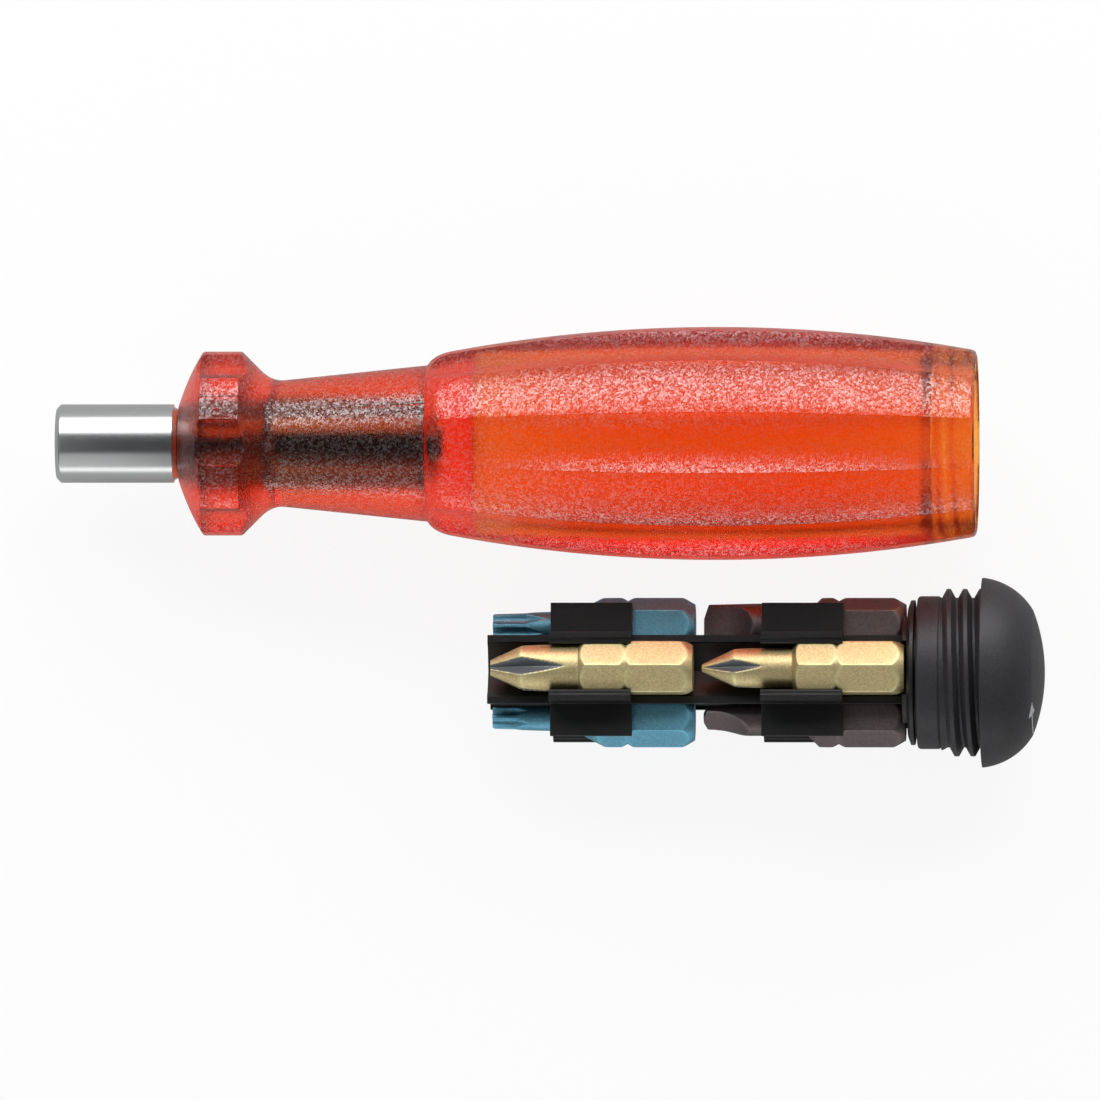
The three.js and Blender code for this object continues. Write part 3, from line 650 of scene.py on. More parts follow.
FLUTES = 6
FLUTE_HALF = math.radians(15)
PARTING_ANGLE = math.radians(30)
PARTING_HEIGHT = 0.035 * MM
PARTING_WIDTH = 0.1 * MM
GATE_ALONG = 20.33 * MM  # place of the mark that the moulding gate left
GATE_ROUND = math.radians(20)
GATE_RADIUS = 0.62 * MM
GATE_HEIGHT = 0.06 * MM
GATE_REACH = 1.3  # half width of the fine rows over the mark, in gate radii
DOME_SLOPE = math.tan(math.radians(71.5))  # where the dome leaves the flat front
COLLAR_SLOPE = math.tan(math.radians(57))  # where the dome meets the collar
COLLAR_RUN = 2.3 * MM  # height and length of the slope behind the collar
COLLAR_EASE = 0.22 * MM
SHOULDER_SLOPE = math.tan(math.radians(62))  # where the shoulder leaves the neck
CREASE_EASE = 0.12 * MM
LAND_EASE = 0.012 * MM  # between the lands and the hollows
END_EASE = 0.7 * MM
MOUTH_BEVEL = 0.3 * MM
MOUTH_FIRST = 0.25 * MM  # from the open end to the first row of the thread
BORE_STEP = 1.6 * MM  # length of the cone between the mouth and the bore
INNER_THREAD = {"pitch": 2 * MM, "crest": 0.1 * MM, "base": 1.9 * MM}
INNER_START = 1.2 * MM  # from the open end to the middle of the thread's first turn
INNER_TURNS = (-2.3, -2.1), (-0.25, -0.15)  # turns over which the thread grows and ends


def barrel_radius(settings, x):
    """Circular swell of the barrel about its thickest place."""
    return settings.barrel_radius - settings.swell + np.sqrt(settings.swell**2 - (x - settings.crest) ** 2)


def flute_floor(land, depth, angles):
    """Radius of the hollow floors beside lands of a radius: chord less a parabola, over cos."""
    pitch = TURN / FLUTES
    off = angles - pitch * np.round(angles / pitch)
    part = np.abs(off) / FLUTE_HALF
    floor = (land * math.cos(FLUTE_HALF) - depth * (1 - part**2)) / np.cos(off)
    return np.where(part > 1, land * 2, floor)


def handle_outside(settings):
    """Outer outline from the front to the open end, as points (along, radius)."""
    s = settings
    neck_slope = (s.neck_back_radius - s.neck_front_radius) / (s.neck_back - s.neck_front)
    shoulder_end = s.neck_back + s.shoulder
    shoulder_radius = barrel_radius(s, shoulder_end)
    barrel_slope = (s.crest - shoulder_end) / s.swell
    dome = bend(
        (s.front, s.front_radius), DOME_SLOPE, (s.collar_front, s.collar_radius), COLLAR_SLOPE, 14
    )
    collar = eased(
        [
            (*dome[-2], 0),
            (s.collar_front, s.collar_radius, COLLAR_EASE),
            (s.collar_back, s.collar_radius, COLLAR_EASE),
            (s.collar_back + COLLAR_RUN, s.collar_radius - COLLAR_RUN, 0),
        ],
        6,
    )[1:]
    slope = np.linspace(collar[-2], collar[-1], 14)[1:]
    throat = bend(tuple(slope[-1]), -1.0, (s.neck_front, s.neck_front_radius), neck_slope, 10)[1:]
    neck = np.linspace((s.neck_front, s.neck_front_radius), (s.neck_back, s.neck_back_radius), 18)[1:-1]
    crease = eased(
        [
            (*neck[-1], 0),
            (s.neck_back, s.neck_back_radius, CREASE_EASE),
            (s.neck_back + 0.4 * MM, s.neck_back_radius + 0.75 * MM, 0),
        ],
        4,
    )[1:-1]
    shoulder_start = (s.neck_back, s.neck_back_radius)
    shoulder = bend(
        shoulder_start, SHOULDER_SLOPE, (shoulder_end, shoulder_radius), barrel_slope, 22
    )[2:]
    long = np.linspace(shoulder_end, s.end - END_EASE, 60)[1:]
    barrel = np.stack([long, barrel_radius(s, long)], axis=1)
    end_radius = barrel_radius(s, s.end)
    lip = bezier(barrel[-1], (s.end, end_radius), (s.end, end_radius - END_EASE), 8)[1:]
    return np.concatenate([dome[:-2], collar[:-1], slope, throat, neck, crease, shoulder, barrel, lip])


def handle_inside(settings):
    """Inner outline from the open end to the bottom of the bore, as points (along, radius)."""
    s = settings
    thread = np.linspace(s.end - MOUTH_FIRST, s.mouth_bottom, 64)
    mouth = np.stack([thread, np.full_like(thread, s.mouth)], axis=1)
    edge = np.array([[s.end, s.mouth + MOUTH_BEVEL]])
    bore = eased(
        [
            (s.mouth_bottom, s.mouth, 0),
            (s.mouth_bottom - BORE_STEP, s.bore, 0.5 * MM),
            (s.bore_bottom, s.bore, 0.12 * MM),
            (s.bore_bottom, 0.2 * MM, 0),
        ],
        6,
    )[1:]
    return np.concatenate([edge, mouth, bore])


def handle_grid(settings):
    """Radius of the outline, lowered to the flute floors, raised at the parting line and the gate
    mark outside, and by the thread ridge inside."""
    s = settings
    outside, inside = handle_outside(s), handle_inside(s)
    edges = np.arange(FLUTES) * TURN / FLUTES
    edges = np.concatenate([edges - FLUTE_HALF, edges + FLUTE_HALF])
    angles = angles_round(216, np.append(edges, PARTING_ANGLE), math.radians(0.8))
    across_gate = np.linspace(-1, 1, 17) * GATE_REACH * GATE_RADIUS
    angles = np.append(angles, GATE_ROUND + across_gate / s.collar_radius)
    angles = np.unique(np.round(angles, 6))
    gate_rows = GATE_ALONG + across_gate
    extra = np.stack([gate_rows, np.full_like(gate_rows, s.collar_radius)], axis=1)
    at = np.argmax(outside[:, 0] >= gate_rows[0])
    outside = np.concatenate([outside[:at], extra, outside[at:]])

    x, r = outside[:, :1], outside[:, 1:]
    collar = flute_floor(s.collar_radius, s.collar_flute, angles)
    depth = s.barrel_flute + s.flute_swell * np.maximum(1 - ((x - s.crest) / s.flute_reach) ** 2, 0)
    barrel = flute_floor(barrel_radius(s, x), depth, angles)
    floor = np.where(x < s.neck_front, collar, np.where(x > s.neck_back, barrel, 1.0))
    outer, _ = soft_min([r, floor], LAND_EASE)
    outer = np.where(outer > s.neck_back_radius, outer, np.minimum(r, floor))
    seam = np.abs(np.sin(angles - PARTING_ANGLE)) * r / PARTING_WIDTH
    seam = np.exp(-(seam**2)) * PARTING_HEIGHT
    outer = outer + np.where((x > s.collar_front) & (x < s.neck_back), seam, 0)
    away = np.hypot(x - GATE_ALONG, (angles - GATE_ROUND) * s.collar_radius) / GATE_RADIUS
    gate_rim = np.exp(-(((away - 0.8) / 0.18) ** 2))
    gate_dip = np.exp(-((away / 0.5) ** 4))
    outer = outer + GATE_HEIGHT * gate_rim - GATE_HEIGHT * gate_dip

    x_in, r_in = inside[:, :1], inside[:, 1:]
    height, turn = ridge(x_in, angles, s.end - INNER_START, **INNER_THREAD)
    height = smooth_step(height, 0, 1)
    grows, ends = INNER_TURNS
    fade = smooth_step(turn, *grows) * (1 - smooth_step(turn, *ends))
    inner = r_in - s.thread_height * height * fade * (x_in > s.mouth_bottom)
    rows_x = np.concatenate([x, x_in])
    skin = np.concatenate([np.ones_like(outer), np.zeros_like(inner)])
    return turned(rows_x, np.concatenate([outer, inner]), angles), skin


def shank_hole(settings, steel, angles):
    """Rows of the hole that the shank is moulded into, from its inner end to the front."""
    end = steel.shank_end
    path = np.array([(end, 0.4 * MM), (end, steel.shank_radius), (settings.front, steel.shank_radius)])
    return turned(path[:, :1], path[:, 1:], angles)


class SCREWDRIVER_OT_handle(bpy.types.Operator):
    """Add the red handle with its flutes, bore and inner thread"""

    bl_idname = "screwdriver.handle"
    bl_label = "Handle"

    def execute(self, context):
        settings = context.scene.screwdriver
        points, skin = handle_grid(settings.handle)
        angles = np.arctan2(points[0, :, 1], points[0, :, 2])
        hole = shank_hole(settings.handle, settings.steel, angles)
        piece = add_piece(
            "red_handle",
            np.concatenate([hole, points]),
            handle_place(settings.steel),
            red_plastic(settings.handle),
            "handle",
            masks={"skin": np.concatenate([np.zeros(hole.shape[:2]), skin])},
            sharp=40,
        )
        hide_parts("handle")
        return {"FINISHED"}


# Steel


def hex_radius(flats, angles, width):
    """Radius of a hexagon with a corner at angle 0, its corners rounded, and its edge mask."""
    normals = math.radians(30) + np.arange(6) * TURN / 6
    facing = np.cos(np.asarray(angles)[..., None] - normals)
    planes = np.where(facing > 0.2, flats / 2 / np.maximum(facing, 0.2), flats * 4)
    return soft_min(np.moveaxis(planes, -1, 0), width)


SLEEVE_PLAY = 0.02 * MM  # between the spigot and the sleeve
SOCKET_LEAD = 0.3 * MM  # depth of the bevel into the socket
SHANK_SINK = 0.005 * MM  # how far the shank reaches into the plastic round it
SHANK_BEVEL = 0.8 * MM
MAGNET_GAP = 0.3 * MM  # from the magnet to the shank
SHOULDER_GAP = 0.12 * MM  # from the sleeve to the shank's shoulder


def sleeve_grid(settings):
    """Round outside, hex socket and round rear bore: one outline carried round the axis, whose
    radius in the socket is that of the hexagon."""
    s = settings
    step = s.sleeve_length - s.ring_length
    bore = s.spigot_radius + SLEEVE_PLAY
    corner = s.socket_flats / math.sqrt(3)
    outside = eased(
        [
            (s.sleeve_length, bore, 0),
            (s.sleeve_length, s.sleeve_radius - 2 * s.ring_drop, 0.06 * MM),
            (step, s.sleeve_radius - s.ring_drop, 0.03 * MM),
            (step, s.sleeve_radius, 0.06 * MM),
            (s.sleeve_bevel, s.sleeve_radius, 0.12 * MM),
            (0, s.sleeve_radius - s.sleeve_bevel, 0.1 * MM),
            (0, corner + 0.12 * MM, 0.04 * MM),
            (SOCKET_LEAD, corner - 0.18 * MM, 0),
        ],
        5,
    )
    angles = angles_round(120, math.radians(30) * (2 * np.arange(6)), math.radians(2))
    hexagon, _ = hex_radius(s.socket_flats, angles, 0.05 * MM)
    seat = s.socket_depth + s.magnet_length
    depth = np.linspace(0, seat, 24)[2:, None]
    rows = [
        turned(outside[:, :1], outside[:, 1:], angles),
        turned(depth, hexagon, angles),
        turned(seat, bore, angles)[None],
    ]
    return np.concatenate(rows)[::-1]


def lathe_grid(path, count):
    """An outline (along, radius) carried once round the axis."""
    return turned(path[:, :1], path[:, 1:], angles_round(count))


def shank_grid(settings):
    """A round bar with a thinner spigot and a bevelled end: its outline carried round the axis."""
    s = settings
    front = s.socket_depth + s.magnet_length + MAGNET_GAP
    shoulder = s.sleeve_length + SHOULDER_GAP
    radius = s.shank_radius + SHANK_SINK
    end = s.shank_end + SHANK_SINK
    path = eased(
        [
            (front, 0.2 * MM, 0),
            (front, s.spigot_radius, 0.2 * MM),
            (shoulder, s.spigot_radius, 0),
            (shoulder, radius, 0),
            (s.shank_end - SHANK_BEVEL, radius, 0.1 * MM),
            (end, s.shank_radius - SHANK_BEVEL, 0.1 * MM),
            (end, 0.3 * MM, 0),
        ],
        5,
    )
    return lathe_grid(path, 96)


def magnet_grid(settings):
    """A disc with rounded edges."""
    s = settings
    back = s.socket_depth + s.magnet_length
    path = eased(
        [
            (s.socket_depth, 0.2 * MM, 0),
            (s.socket_depth, s.magnet_radius, 0.25 * MM),
            (back, s.magnet_radius, 0.25 * MM),
            (back, 0.2 * MM, 0),
        ],
        6,
    )
    return lathe_grid(path, 72)


class SCREWDRIVER_OT_steel(bpy.types.Operator):
    """Add the socket sleeve, the shank in the handle and the magnet"""

    bl_idname = "screwdriver.steel"
    bl_label = "Steel socket"

    def execute(self, context):
        s = context.scene.screwdriver.steel
        place = handle_place(s)
        satin = turned_steel("satin_turned", s.steel, s.roughness, spacing=0.05 * MM)
        sleeve = add_piece("steel_sleeve", sleeve_grid(s), place, satin, "handle", ring=True)
        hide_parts("socket_sleeve")
        # Painted shade: the shank's steel colour is darkened, for the dark core seen through the neck of the
        # handle
        bright = turned_steel("bright_turned", s.shank_steel, roughness=0.08, spacing=0.09 * MM)
        shank = add_piece("steel_shank", shank_grid(s), place, bright, "handle")
        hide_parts("shank")
        plated = turned_steel("plated", s.steel, roughness=0.15, spacing=0.2 * MM)
        magnet = add_piece("plated_magnet", magnet_grid(s), place, plated, "handle")
        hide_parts("magnet")
        return {"FINISHED"}


# Magazine

CHANNEL_PLAY = 0.15 * MM  # between a bit and its channel
FLOOR_ANGLE = math.radians(30)  # of the V floor, as of a hex bit's flats
SEAT_DEPTH = 0.3 * MM  # how far the rear bits reach into the end disc
POCKET_DEPTH = 0.6 * MM
POCKET_RIM = 0.6 * MM  # how far the disc widens behind the pockets
FLANGE_START = 0.95 * MM  # from the front of the end disc
FLANGE_LENGTH = 0.5 * MM
SNAP_LENGTH = 5.6 * MM  # of the spigot, and of the bore for it
BEAD_START = 3.6 * MM  # along the spigot
BEAD_RISE = 0.3 * MM
BEAD_END = 0.9 * MM
BEAD_HEIGHT = 0.45 * MM
CORE_STEP = 0.15 * MM  # between the points of the core's top that become the lip of a clip
CORE_EDGE = 0.08 * MM
LIP_CORNERS = (0.16 * MM, 0.24 * MM), (0.62 * MM, 0.26 * MM)  # of a lip's back, from its edge
LIP_WIDTH = 0.7 * MM


def channel_sizes(bits):
    """Half width, floor and wall height of a channel with a V floor under a hex corner."""
    half = bits.flats / 2 + CHANNEL_PLAY
    floor = bits.circle - bits.flats / math.sqrt(3) - CHANNEL_PLAY / math.cos(FLOOR_ANGLE)
    return half, floor, floor + half * math.tan(FLOOR_ANGLE)


def whole_outline(part):
    """Four channels round the axis from one eighth, mirrored about the diagonal and turned."""
    part = np.array(part)
    quarter = np.concatenate([part, part[-2:0:-1, ::-1]])
    y, z = quarter[:, 0], quarter[:, 1]
    turns = [(y, z), (z, -y), (-y, -z), (-z, y)]
    return np.concatenate([np.stack(turn, axis=1) for turn in turns])


def magazine_outlines(settings, bits):
    """Outlines (y, z) of the core, of the clips with their lips, and of the end disc, each with as
    many points as the others, and the radius directions for the round end."""
    s = settings
    half, floor, wall = channel_sizes(bits)
    out = s.arm_outside
    rim = np.sqrt(s.disc_radius**2 - half**2)
    start = math.atan2(half, rim)
    around = np.linspace(start, math.pi / 4, 7)
    on_rim = s.disc_radius * np.stack([np.sin(around), np.cos(around)], axis=1)
    core = [(0, floor), (half, wall)]
    core += [(half + step * CORE_STEP, out) for step in range(5)]
    core += [(out - CORE_EDGE, out), (out, out)]
    clip = [(0, floor), (half, wall), (half, s.lip_start), (s.lip_gap, s.lip_height)]
    clip += [(s.lip_gap + across, s.lip_height + up) for across, up in LIP_CORNERS]
    clip += [(s.lip_gap + LIP_WIDTH, s.reach), (out, s.reach), (out, out)]
    disc = [(0, floor), (half, wall), *map(tuple, on_rim)]
    angles = np.concatenate([[0, start / 2], around])
    round_end = np.stack([np.sin(angles), np.cos(angles)], axis=1)
    return [whole_outline(part) for part in (core, clip, disc, round_end)]


def magazine_grid(settings, bits):
    """Outlines carried along the axis, with two at one place where the section steps."""
    s = settings
    core, clip, disc, circle = magazine_outlines(s, bits)
    disc_front = bits.start + bits.pitch + bits.length - SEAT_DEPTH
    pocket = disc_front + POCKET_DEPTH
    flange = disc_front + FLANGE_START
    back = flange + FLANGE_LENGTH
    bead = back + BEAD_START
    bead_radius = s.spigot_radius + BEAD_HEIGHT
    rows = [(0, core)]
    for row in (0, 1):
        start = s.clip_start + row * bits.pitch
        end = start + s.clip_length
        rows += [(start, core), (start, clip), (end, clip), (end, core)]
    rows += [(disc_front, core), (disc_front, disc), (pocket, disc)]
    rows += [(pocket, circle * s.disc_radius), (pocket, circle * (s.disc_radius + POCKET_RIM))]
    rows += [(flange, circle * s.flange_radius), (back, circle * s.flange_radius)]
    rows += [(back, circle * s.spigot_radius), (bead, circle * s.spigot_radius)]
    rows += [(bead + BEAD_RISE, circle * bead_radius), (bead + BEAD_END, circle * bead_radius)]
    rows += [(back + SNAP_LENGTH, circle * (s.spigot_radius - BEAD_HEIGHT))]
    points = [np.column_stack([np.full(len(outline), x), outline]) for x, outline in rows]
    return np.stack(points)


def merge_and_bevel(piece, width):
    """Joins doubled points, then rounds the edges with a Bevel modifier."""
    doubled = 0.002 * MM
    shape = bmesh.new()
    shape.from_mesh(piece.data)
    bmesh.ops.remove_doubles(shape, verts=shape.verts, dist=doubled)
    bmesh.ops.dissolve_degenerate(shape, edges=shape.edges, dist=doubled)
    shape.to_mesh(piece.data)
    shape.free()
    bevel = piece.modifiers.new("rounded_edges", "BEVEL")
    bevel.width = width
    bevel.segments = 2
    bevel.limit_method = "ANGLE"
    bevel.angle_limit = math.radians(28)


class SCREWDRIVER_OT_magazine(bpy.types.Operator):
    """Add the black bit magazine with its channels, clips and snap spigot"""

    bl_idname = "screwdriver.magazine"
    bl_label = "Bit magazine"

    def execute(self, context):
        settings = context.scene.screwdriver
        s = settings.magazine
        black = black_plastic("moulded_black", s.colour, s.roughness, grain_size=0.35 * MM, relief=0.12)
        points = magazine_grid(s, settings.bits)
        piece = add_piece("black_magazine", points, magazine_place(), black, "magazine")
        merge_and_bevel(piece, s.bevel)
        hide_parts("magazine")
        return {"FINISHED"}


# Cap


def arc_between(start, end, radius, steps):
    """The arc of a radius that bulges outwards between two points of an outline."""
    (x0, r0), (x1, r1) = start, end
    half = math.hypot(x1 - x0, r1 - r0) / 2
    drop = math.sqrt(radius**2 - half**2) / (2 * half)
    centre = ((x0 + x1) / 2 + (r1 - r0) * drop, (r0 + r1) / 2 - (x1 - x0) * drop)
    first = math.atan2(r0 - centre[1], x0 - centre[0])
    last = math.atan2(r1 - centre[1], x1 - centre[0])
    return arc(centre, radius, first, last, steps)


SNAP_PLAY = 0.5 * MM  # round the magazine's spigot
RIM_WIDTH = 0.6 * MM  # flat underside of the dome beyond the thread
RIM_EASE = 0.12 * MM
CAP_THREAD_START = 57.35 * MM  # middle of the turn from which the turns are counted
CAP_THREAD = {"crest": 0.5 * MM, "base": 1.7 * MM}  # widths of the ridge
CAP_THREAD_GROWS = (-1.0, -0.25)  # turns over which the ridge grows


def cap_outline(settings, magazine):
    """Outline (along, radius) from the bottom of the snap bore round the plug to the crown."""
    s = settings
    bore = magazine.spigot_radius + SNAP_PLAY
    bottom = s.plug_start + SNAP_LENGTH
    inside = eased(
        [
            (bottom, 0.3 * MM, 0),
            (bottom, bore, 0.1 * MM),
            (s.plug_start, bore, 0.15 * MM),
            (s.plug_start, s.plug_radius, 0.5 * MM),
            (s.thread_start - 0.25 * MM, s.plug_radius, 0.08 * MM),
            (s.thread_start, s.root_radius, 0.08 * MM),
            (s.thread_start + 0.1 * MM, s.root_radius, 0),
        ],
        6,
    )[:-1]
    threaded = np.linspace(s.thread_start + 0.05 * MM, s.underside, 90)
    thread = np.stack([threaded, np.full_like(threaded, s.root_radius)], axis=1)
    shoulder = s.underside + s.side_height
    side = arc_between((s.underside, s.dome_radius), (shoulder, s.crown_radius), s.side_curve, 40)
    rim = eased(
        [
            (s.underside, s.dome_radius - RIM_WIDTH, 0),
            (s.underside, s.dome_radius, RIM_EASE),
            (*side[1], 0),
        ]
    )[:-1]
    crown_curve = (s.crown_radius**2 + s.crown_height**2) / (2 * s.crown_height)
    centre = shoulder + s.crown_height - crown_curve
    first = math.atan2(s.crown_radius, shoulder - centre)
    crown = arc((centre, 0), crown_curve, first, 0.004, 26)[1:]
    return np.concatenate([inside, thread, rim, side[1:], crown])


def cap_grid(settings, magazine):
    """The outline carried round the axis, raised by the helical ridge of the thread."""
    s = settings
    path = cap_outline(s, magazine)
    angles = angles_round(180)
    x, r = path[:, :1], path[:, 1:]
    height, turn = ridge(x, angles, CAP_THREAD_START, s.pitch, **CAP_THREAD)
    grown = smooth_step(turn, *CAP_THREAD_GROWS)
    threaded = (x >= s.thread_start) & (x <= s.underside) & (r < s.crest_radius)
    raised = (s.crest_radius - s.root_radius) * height * grown
    return turned(x, r + np.where(threaded, raised, 0), angles)


ARROW_TAIL, ARROW_NECK, ARROW_TIP = np.radians([-94.0, -49.0, -34.5])  # round the cap from the top
ARROW_SHAFT, ARROW_HEAD = 0.14 * MM, 0.8 * MM  # half widths
ARROW_IN = 0.12 * MM  # from the edge of the crown to the middle of the arrow
INK = 0.012 * MM


def arrow_grid(settings, magazine):
    """A thin layer along the edge of the crown: the outline of the dome, measured along itself
    from that edge, carried round between the tail and the tip. Half its width is the shaft's
    up to the neck, and then falls from the head's to nothing."""
    outline = cap_outline(settings, magazine)
    outline = outline[outline[:, 0] >= settings.underside + 1 * MM]
    path = np.concatenate([[0], np.cumsum(np.linalg.norm(np.diff(outline, axis=0), axis=1))])
    edge = np.interp(settings.underside + settings.side_height, outline[:, 0], path)
    shaft = np.linspace(ARROW_TAIL, ARROW_NECK, 30)
    head = np.linspace(ARROW_NECK + 0.001, ARROW_TIP, 16)
    half = np.concatenate([np.full(30, ARROW_SHAFT), np.linspace(ARROW_HEAD, 0.004 * MM, 16)])
    angles = np.concatenate([shaft, head])[:, None]
    across = np.linspace(-1, 1, 15)
    at = edge + ARROW_IN + half[:, None] * across
    x, r = np.interp(at, path, outline[:, 0]), np.interp(at, path, outline[:, 1])
    slope = np.gradient(outline, path, axis=0)
    out_x, out_r = -np.interp(at, path, slope[:, 1]), np.interp(at, path, slope[:, 0])
    top = turned(x + INK * out_x, r + INK * out_r, angles)
    under = turned(x - INK * out_x, r - INK * out_r, angles)
    return np.concatenate([top, under[:, ::-1]], axis=1)[::-1]


def printed_white(colour):
    """Matte white print, slightly uneven."""
    material, tree, shader, local = new_finish("printed_white")
    grain = place_group(tree, moulded_grain(), {"Vector": local, "Scale": 5000.0})
    tree.links.new(
        mixed_colour(tree, grain.outputs["Speckle"], rgba(colour, 1.05), rgba(colour, 0.85)),
        shader.inputs["Base Color"],
    )
    set_shader(shader, Roughness=0.6)
    return material


class SCREWDRIVER_OT_cap(bpy.types.Operator):
    """Add the black cap with its closing thread and its printed arrow"""

    bl_idname = "screwdriver.cap"
    bl_label = "Cap"

    def execute(self, context):
        settings = context.scene.screwdriver
        s = settings.cap
        place = magazine_place()
        black = black_plastic("grained_black", s.colour, s.roughness, grain_size=0.2 * MM, relief=0.45)
        piece = add_piece("black_cap", cap_grid(s, settings.magazine), place, black, "cap")
        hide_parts("cap")
        white = printed_white(s.mark)
        add_piece("printed_arrow", arrow_grid(s, settings.magazine), place, white, "cap")
        return {"FINISHED"}


# Bits

REAR_SLOPE = math.tan(math.radians(30))
CROSS_SLOPE = math.tan(math.radians(26))  # of a cross tip's cone
CROSS_SOFT = 0.05  # softness of a cross tip's valleys, in radii
STAR_GROWTH = 0.3 * MM  # how much thicker a star bit's shank gets towards the hex
STAR_VALLEY = 0.21  # radius of a star's valleys, as a share of its width
STAR_FLOOR = 0.715  # width between opposite valleys, as a share of its width
STAR_BEVEL = 0.12 * MM
STAR_TIP_SLOPE = 0.8
SLOT_FLAT = 1 * MM  # flat length of a blade
SLOT_BEND = 0.62  # where the hollow bends, as a share of its length
SLOT_TIP_SLOPE = 3
THINNEST = 0.02  # least sine or opening that a radius is divided by


def hex_part(settings, x, angles, start, neck, slope):
    """Hex bar turned down at both ends and notched: min(hexagon, two cones, notch)."""
    s = settings
    corner = s.flats / math.sqrt(3)
    hexagon, corner_edge = hex_radius(s.flats, angles, s.edge)
    front = neck + (x - start) * slope
    rear = s.rear_radius + (s.length - x) * REAR_SLOPE
    notch = corner - s.notch_depth + np.abs(x - s.length + s.notch) * s.notch_depth / s.notch_width
    radius, edge = soft_min([hexagon, front, rear, notch], s.edge)
    return radius, np.maximum(edge, corner_edge * (hexagon - radius < s.edge))


# The function of a tip takes the places along the bit, the angles round it, the start of the hex
# and the tip's own sizes, and gives a radius, an edge mask and a mask of bare steel


def cross_front(settings, x, angles, start, shank, point, web, flute):
    """Cone and shank with four V flutes: min(cone, shank, floor / (cos - |sin|))."""
    quarter = TURN / 4
    off = angles - quarter * np.round(angles / quarter)
    floor = web + x * (shank / 2 - web) / flute
    opening = np.cos(off) - np.sqrt(np.sin(off) ** 2 + CROSS_SOFT**2) + CROSS_SOFT
    vee = floor / np.maximum(opening, THINNEST)
    cone = point / 2 + x * CROSS_SLOPE
    radius, edge = soft_min([cone, shank / 2, vee], settings.edge)
    bare = smooth_step(np.minimum(cone, shank / 2) - vee, -0.01 * MM, 0.03 * MM)
    return radius, edge, bare


def star_front(settings, x, angles, start, across, lobes):
    """Shank with six round valleys: near side of circles set round the axis, which shrink away."""
    neck = across / 2 + STAR_GROWTH * x / start
    sixth = TURN / 6
    off = angles - sixth * np.round(angles / sixth)
    valley = STAR_VALLEY * across * np.clip((lobes - x) / (lobes / 3), 0, 1)
    centre = STAR_FLOOR * across / 2 + STAR_VALLEY * across
    inside = valley**2 - (centre * np.sin(off)) ** 2
    near = np.where(inside > 0, centre * np.cos(off) - np.sqrt(np.maximum(inside, 0)), across * 2)
    tip = across / 2 - STAR_BEVEL + x * STAR_TIP_SLOPE
    radius, edge = soft_min([neck, near, tip], settings.edge)
    return radius, edge, np.zeros_like(radius)


def slot_front(settings, x, angles, start, width, thickness, ground, shank):
    """Shank ground hollow on two sides: min(round front, half thickness / |sin|)."""
    flat_end, bend_at = (SLOT_FLAT, thickness / 2), (SLOT_BEND * ground, thickness / 2)
    curve = bezier(flat_end, bend_at, (ground, shank / 2), 200)
    half = np.interp(x, curve[:, 0], curve[:, 1], right=shank)
    blade = half / np.maximum(np.abs(np.sin(angles)), THINNEST)
    front = width / 2 + (shank - width) / 2 * np.clip(x / ground, 0, 1)
    tip = thickness + width / 2 + (x - 0.9 * thickness) * SLOT_TIP_SLOPE
    radius, edge = soft_min([front, blade, tip], settings.edge)
    return radius, edge, np.zeros_like(radius)


def bit_angles(front):
    """Angles round a bit: closer at the hex corners, and evenly along the edge of a blade."""
    corners = np.arange(6) * TURN / 6
    angles = angles_round(150, corners, math.radians(1.4))
    if front is slot_front:
        thickness = 0.18  # of a blade, as a share of its width
        blade = np.arctan2(np.linspace(-1, 1, 40), thickness)
        angles = np.union1d(angles, np.concatenate([blade, math.pi - np.abs(blade)]))
    return np.unique(np.round(angles, 6))


def bit_grid(settings, front, start, slope, sizes):
    """Front and hex part of a bit along x, tip first, as a radius round its axis."""
    s = settings
    corner = s.flats / math.sqrt(3)
    neck = sizes["shank"] / 2 if "shank" in sizes else sizes["across"] / 2 + STAR_GROWTH
    chamfer_end = start + (corner - neck) / slope
    tip, tip_end = 1 * MM, 10 * MM
    notch_start, notch_end = s.length - s.notch - 1.3 * MM, s.length - s.notch + 1.3 * MM
    rear = s.length - 1.8 * MM
    x = rows_between(
        (0, tip, 0.06 * MM),
        (tip, tip_end, 0.11 * MM),
        (tip_end, start, 0.25 * MM),
        (start, min(chamfer_end, notch_start), 0.09 * MM),
        (notch_start, notch_end, 0.06 * MM),
        (notch_end, rear, 0.5 * MM),
        (rear, s.length, 0.07 * MM),
    )[:, None]
    angles = bit_angles(front)
    front_radius, front_edge, bare = front(s, x, angles[None], start, **sizes)
    hex_size, hex_edge = hex_part(s, x, angles[None], start, neck, slope)
    ahead = x < start
    radius = np.where(ahead, front_radius, hex_size)
    masks = {"edge": np.where(ahead, front_edge, hex_edge), "bare": np.where(ahead, bare, 0)}
    return turned(x, radius, angles), masks


def in_channel(points, settings, row, side, twist):
    """A bit turned by its twist, set on its circle and turned to its side of the magazine."""

    def about_axis(points, angle):
        """Points turned about the X axis."""
        c, s = math.cos(angle), math.sin(angle)
        x, y, z = np.moveaxis(points, -1, 0)
        return np.stack([x, y * c - z * s, y * s + z * c], axis=-1)

    set_out = about_axis(points, math.radians(twist))
    set_out = set_out + np.array([settings.start + row * settings.pitch, 0, settings.circle])
    return about_axis(set_out, math.radians(side))


TOP, HANDLE_SIDE, UNDER, OPEN_SIDE = 0, -90, 180, 90

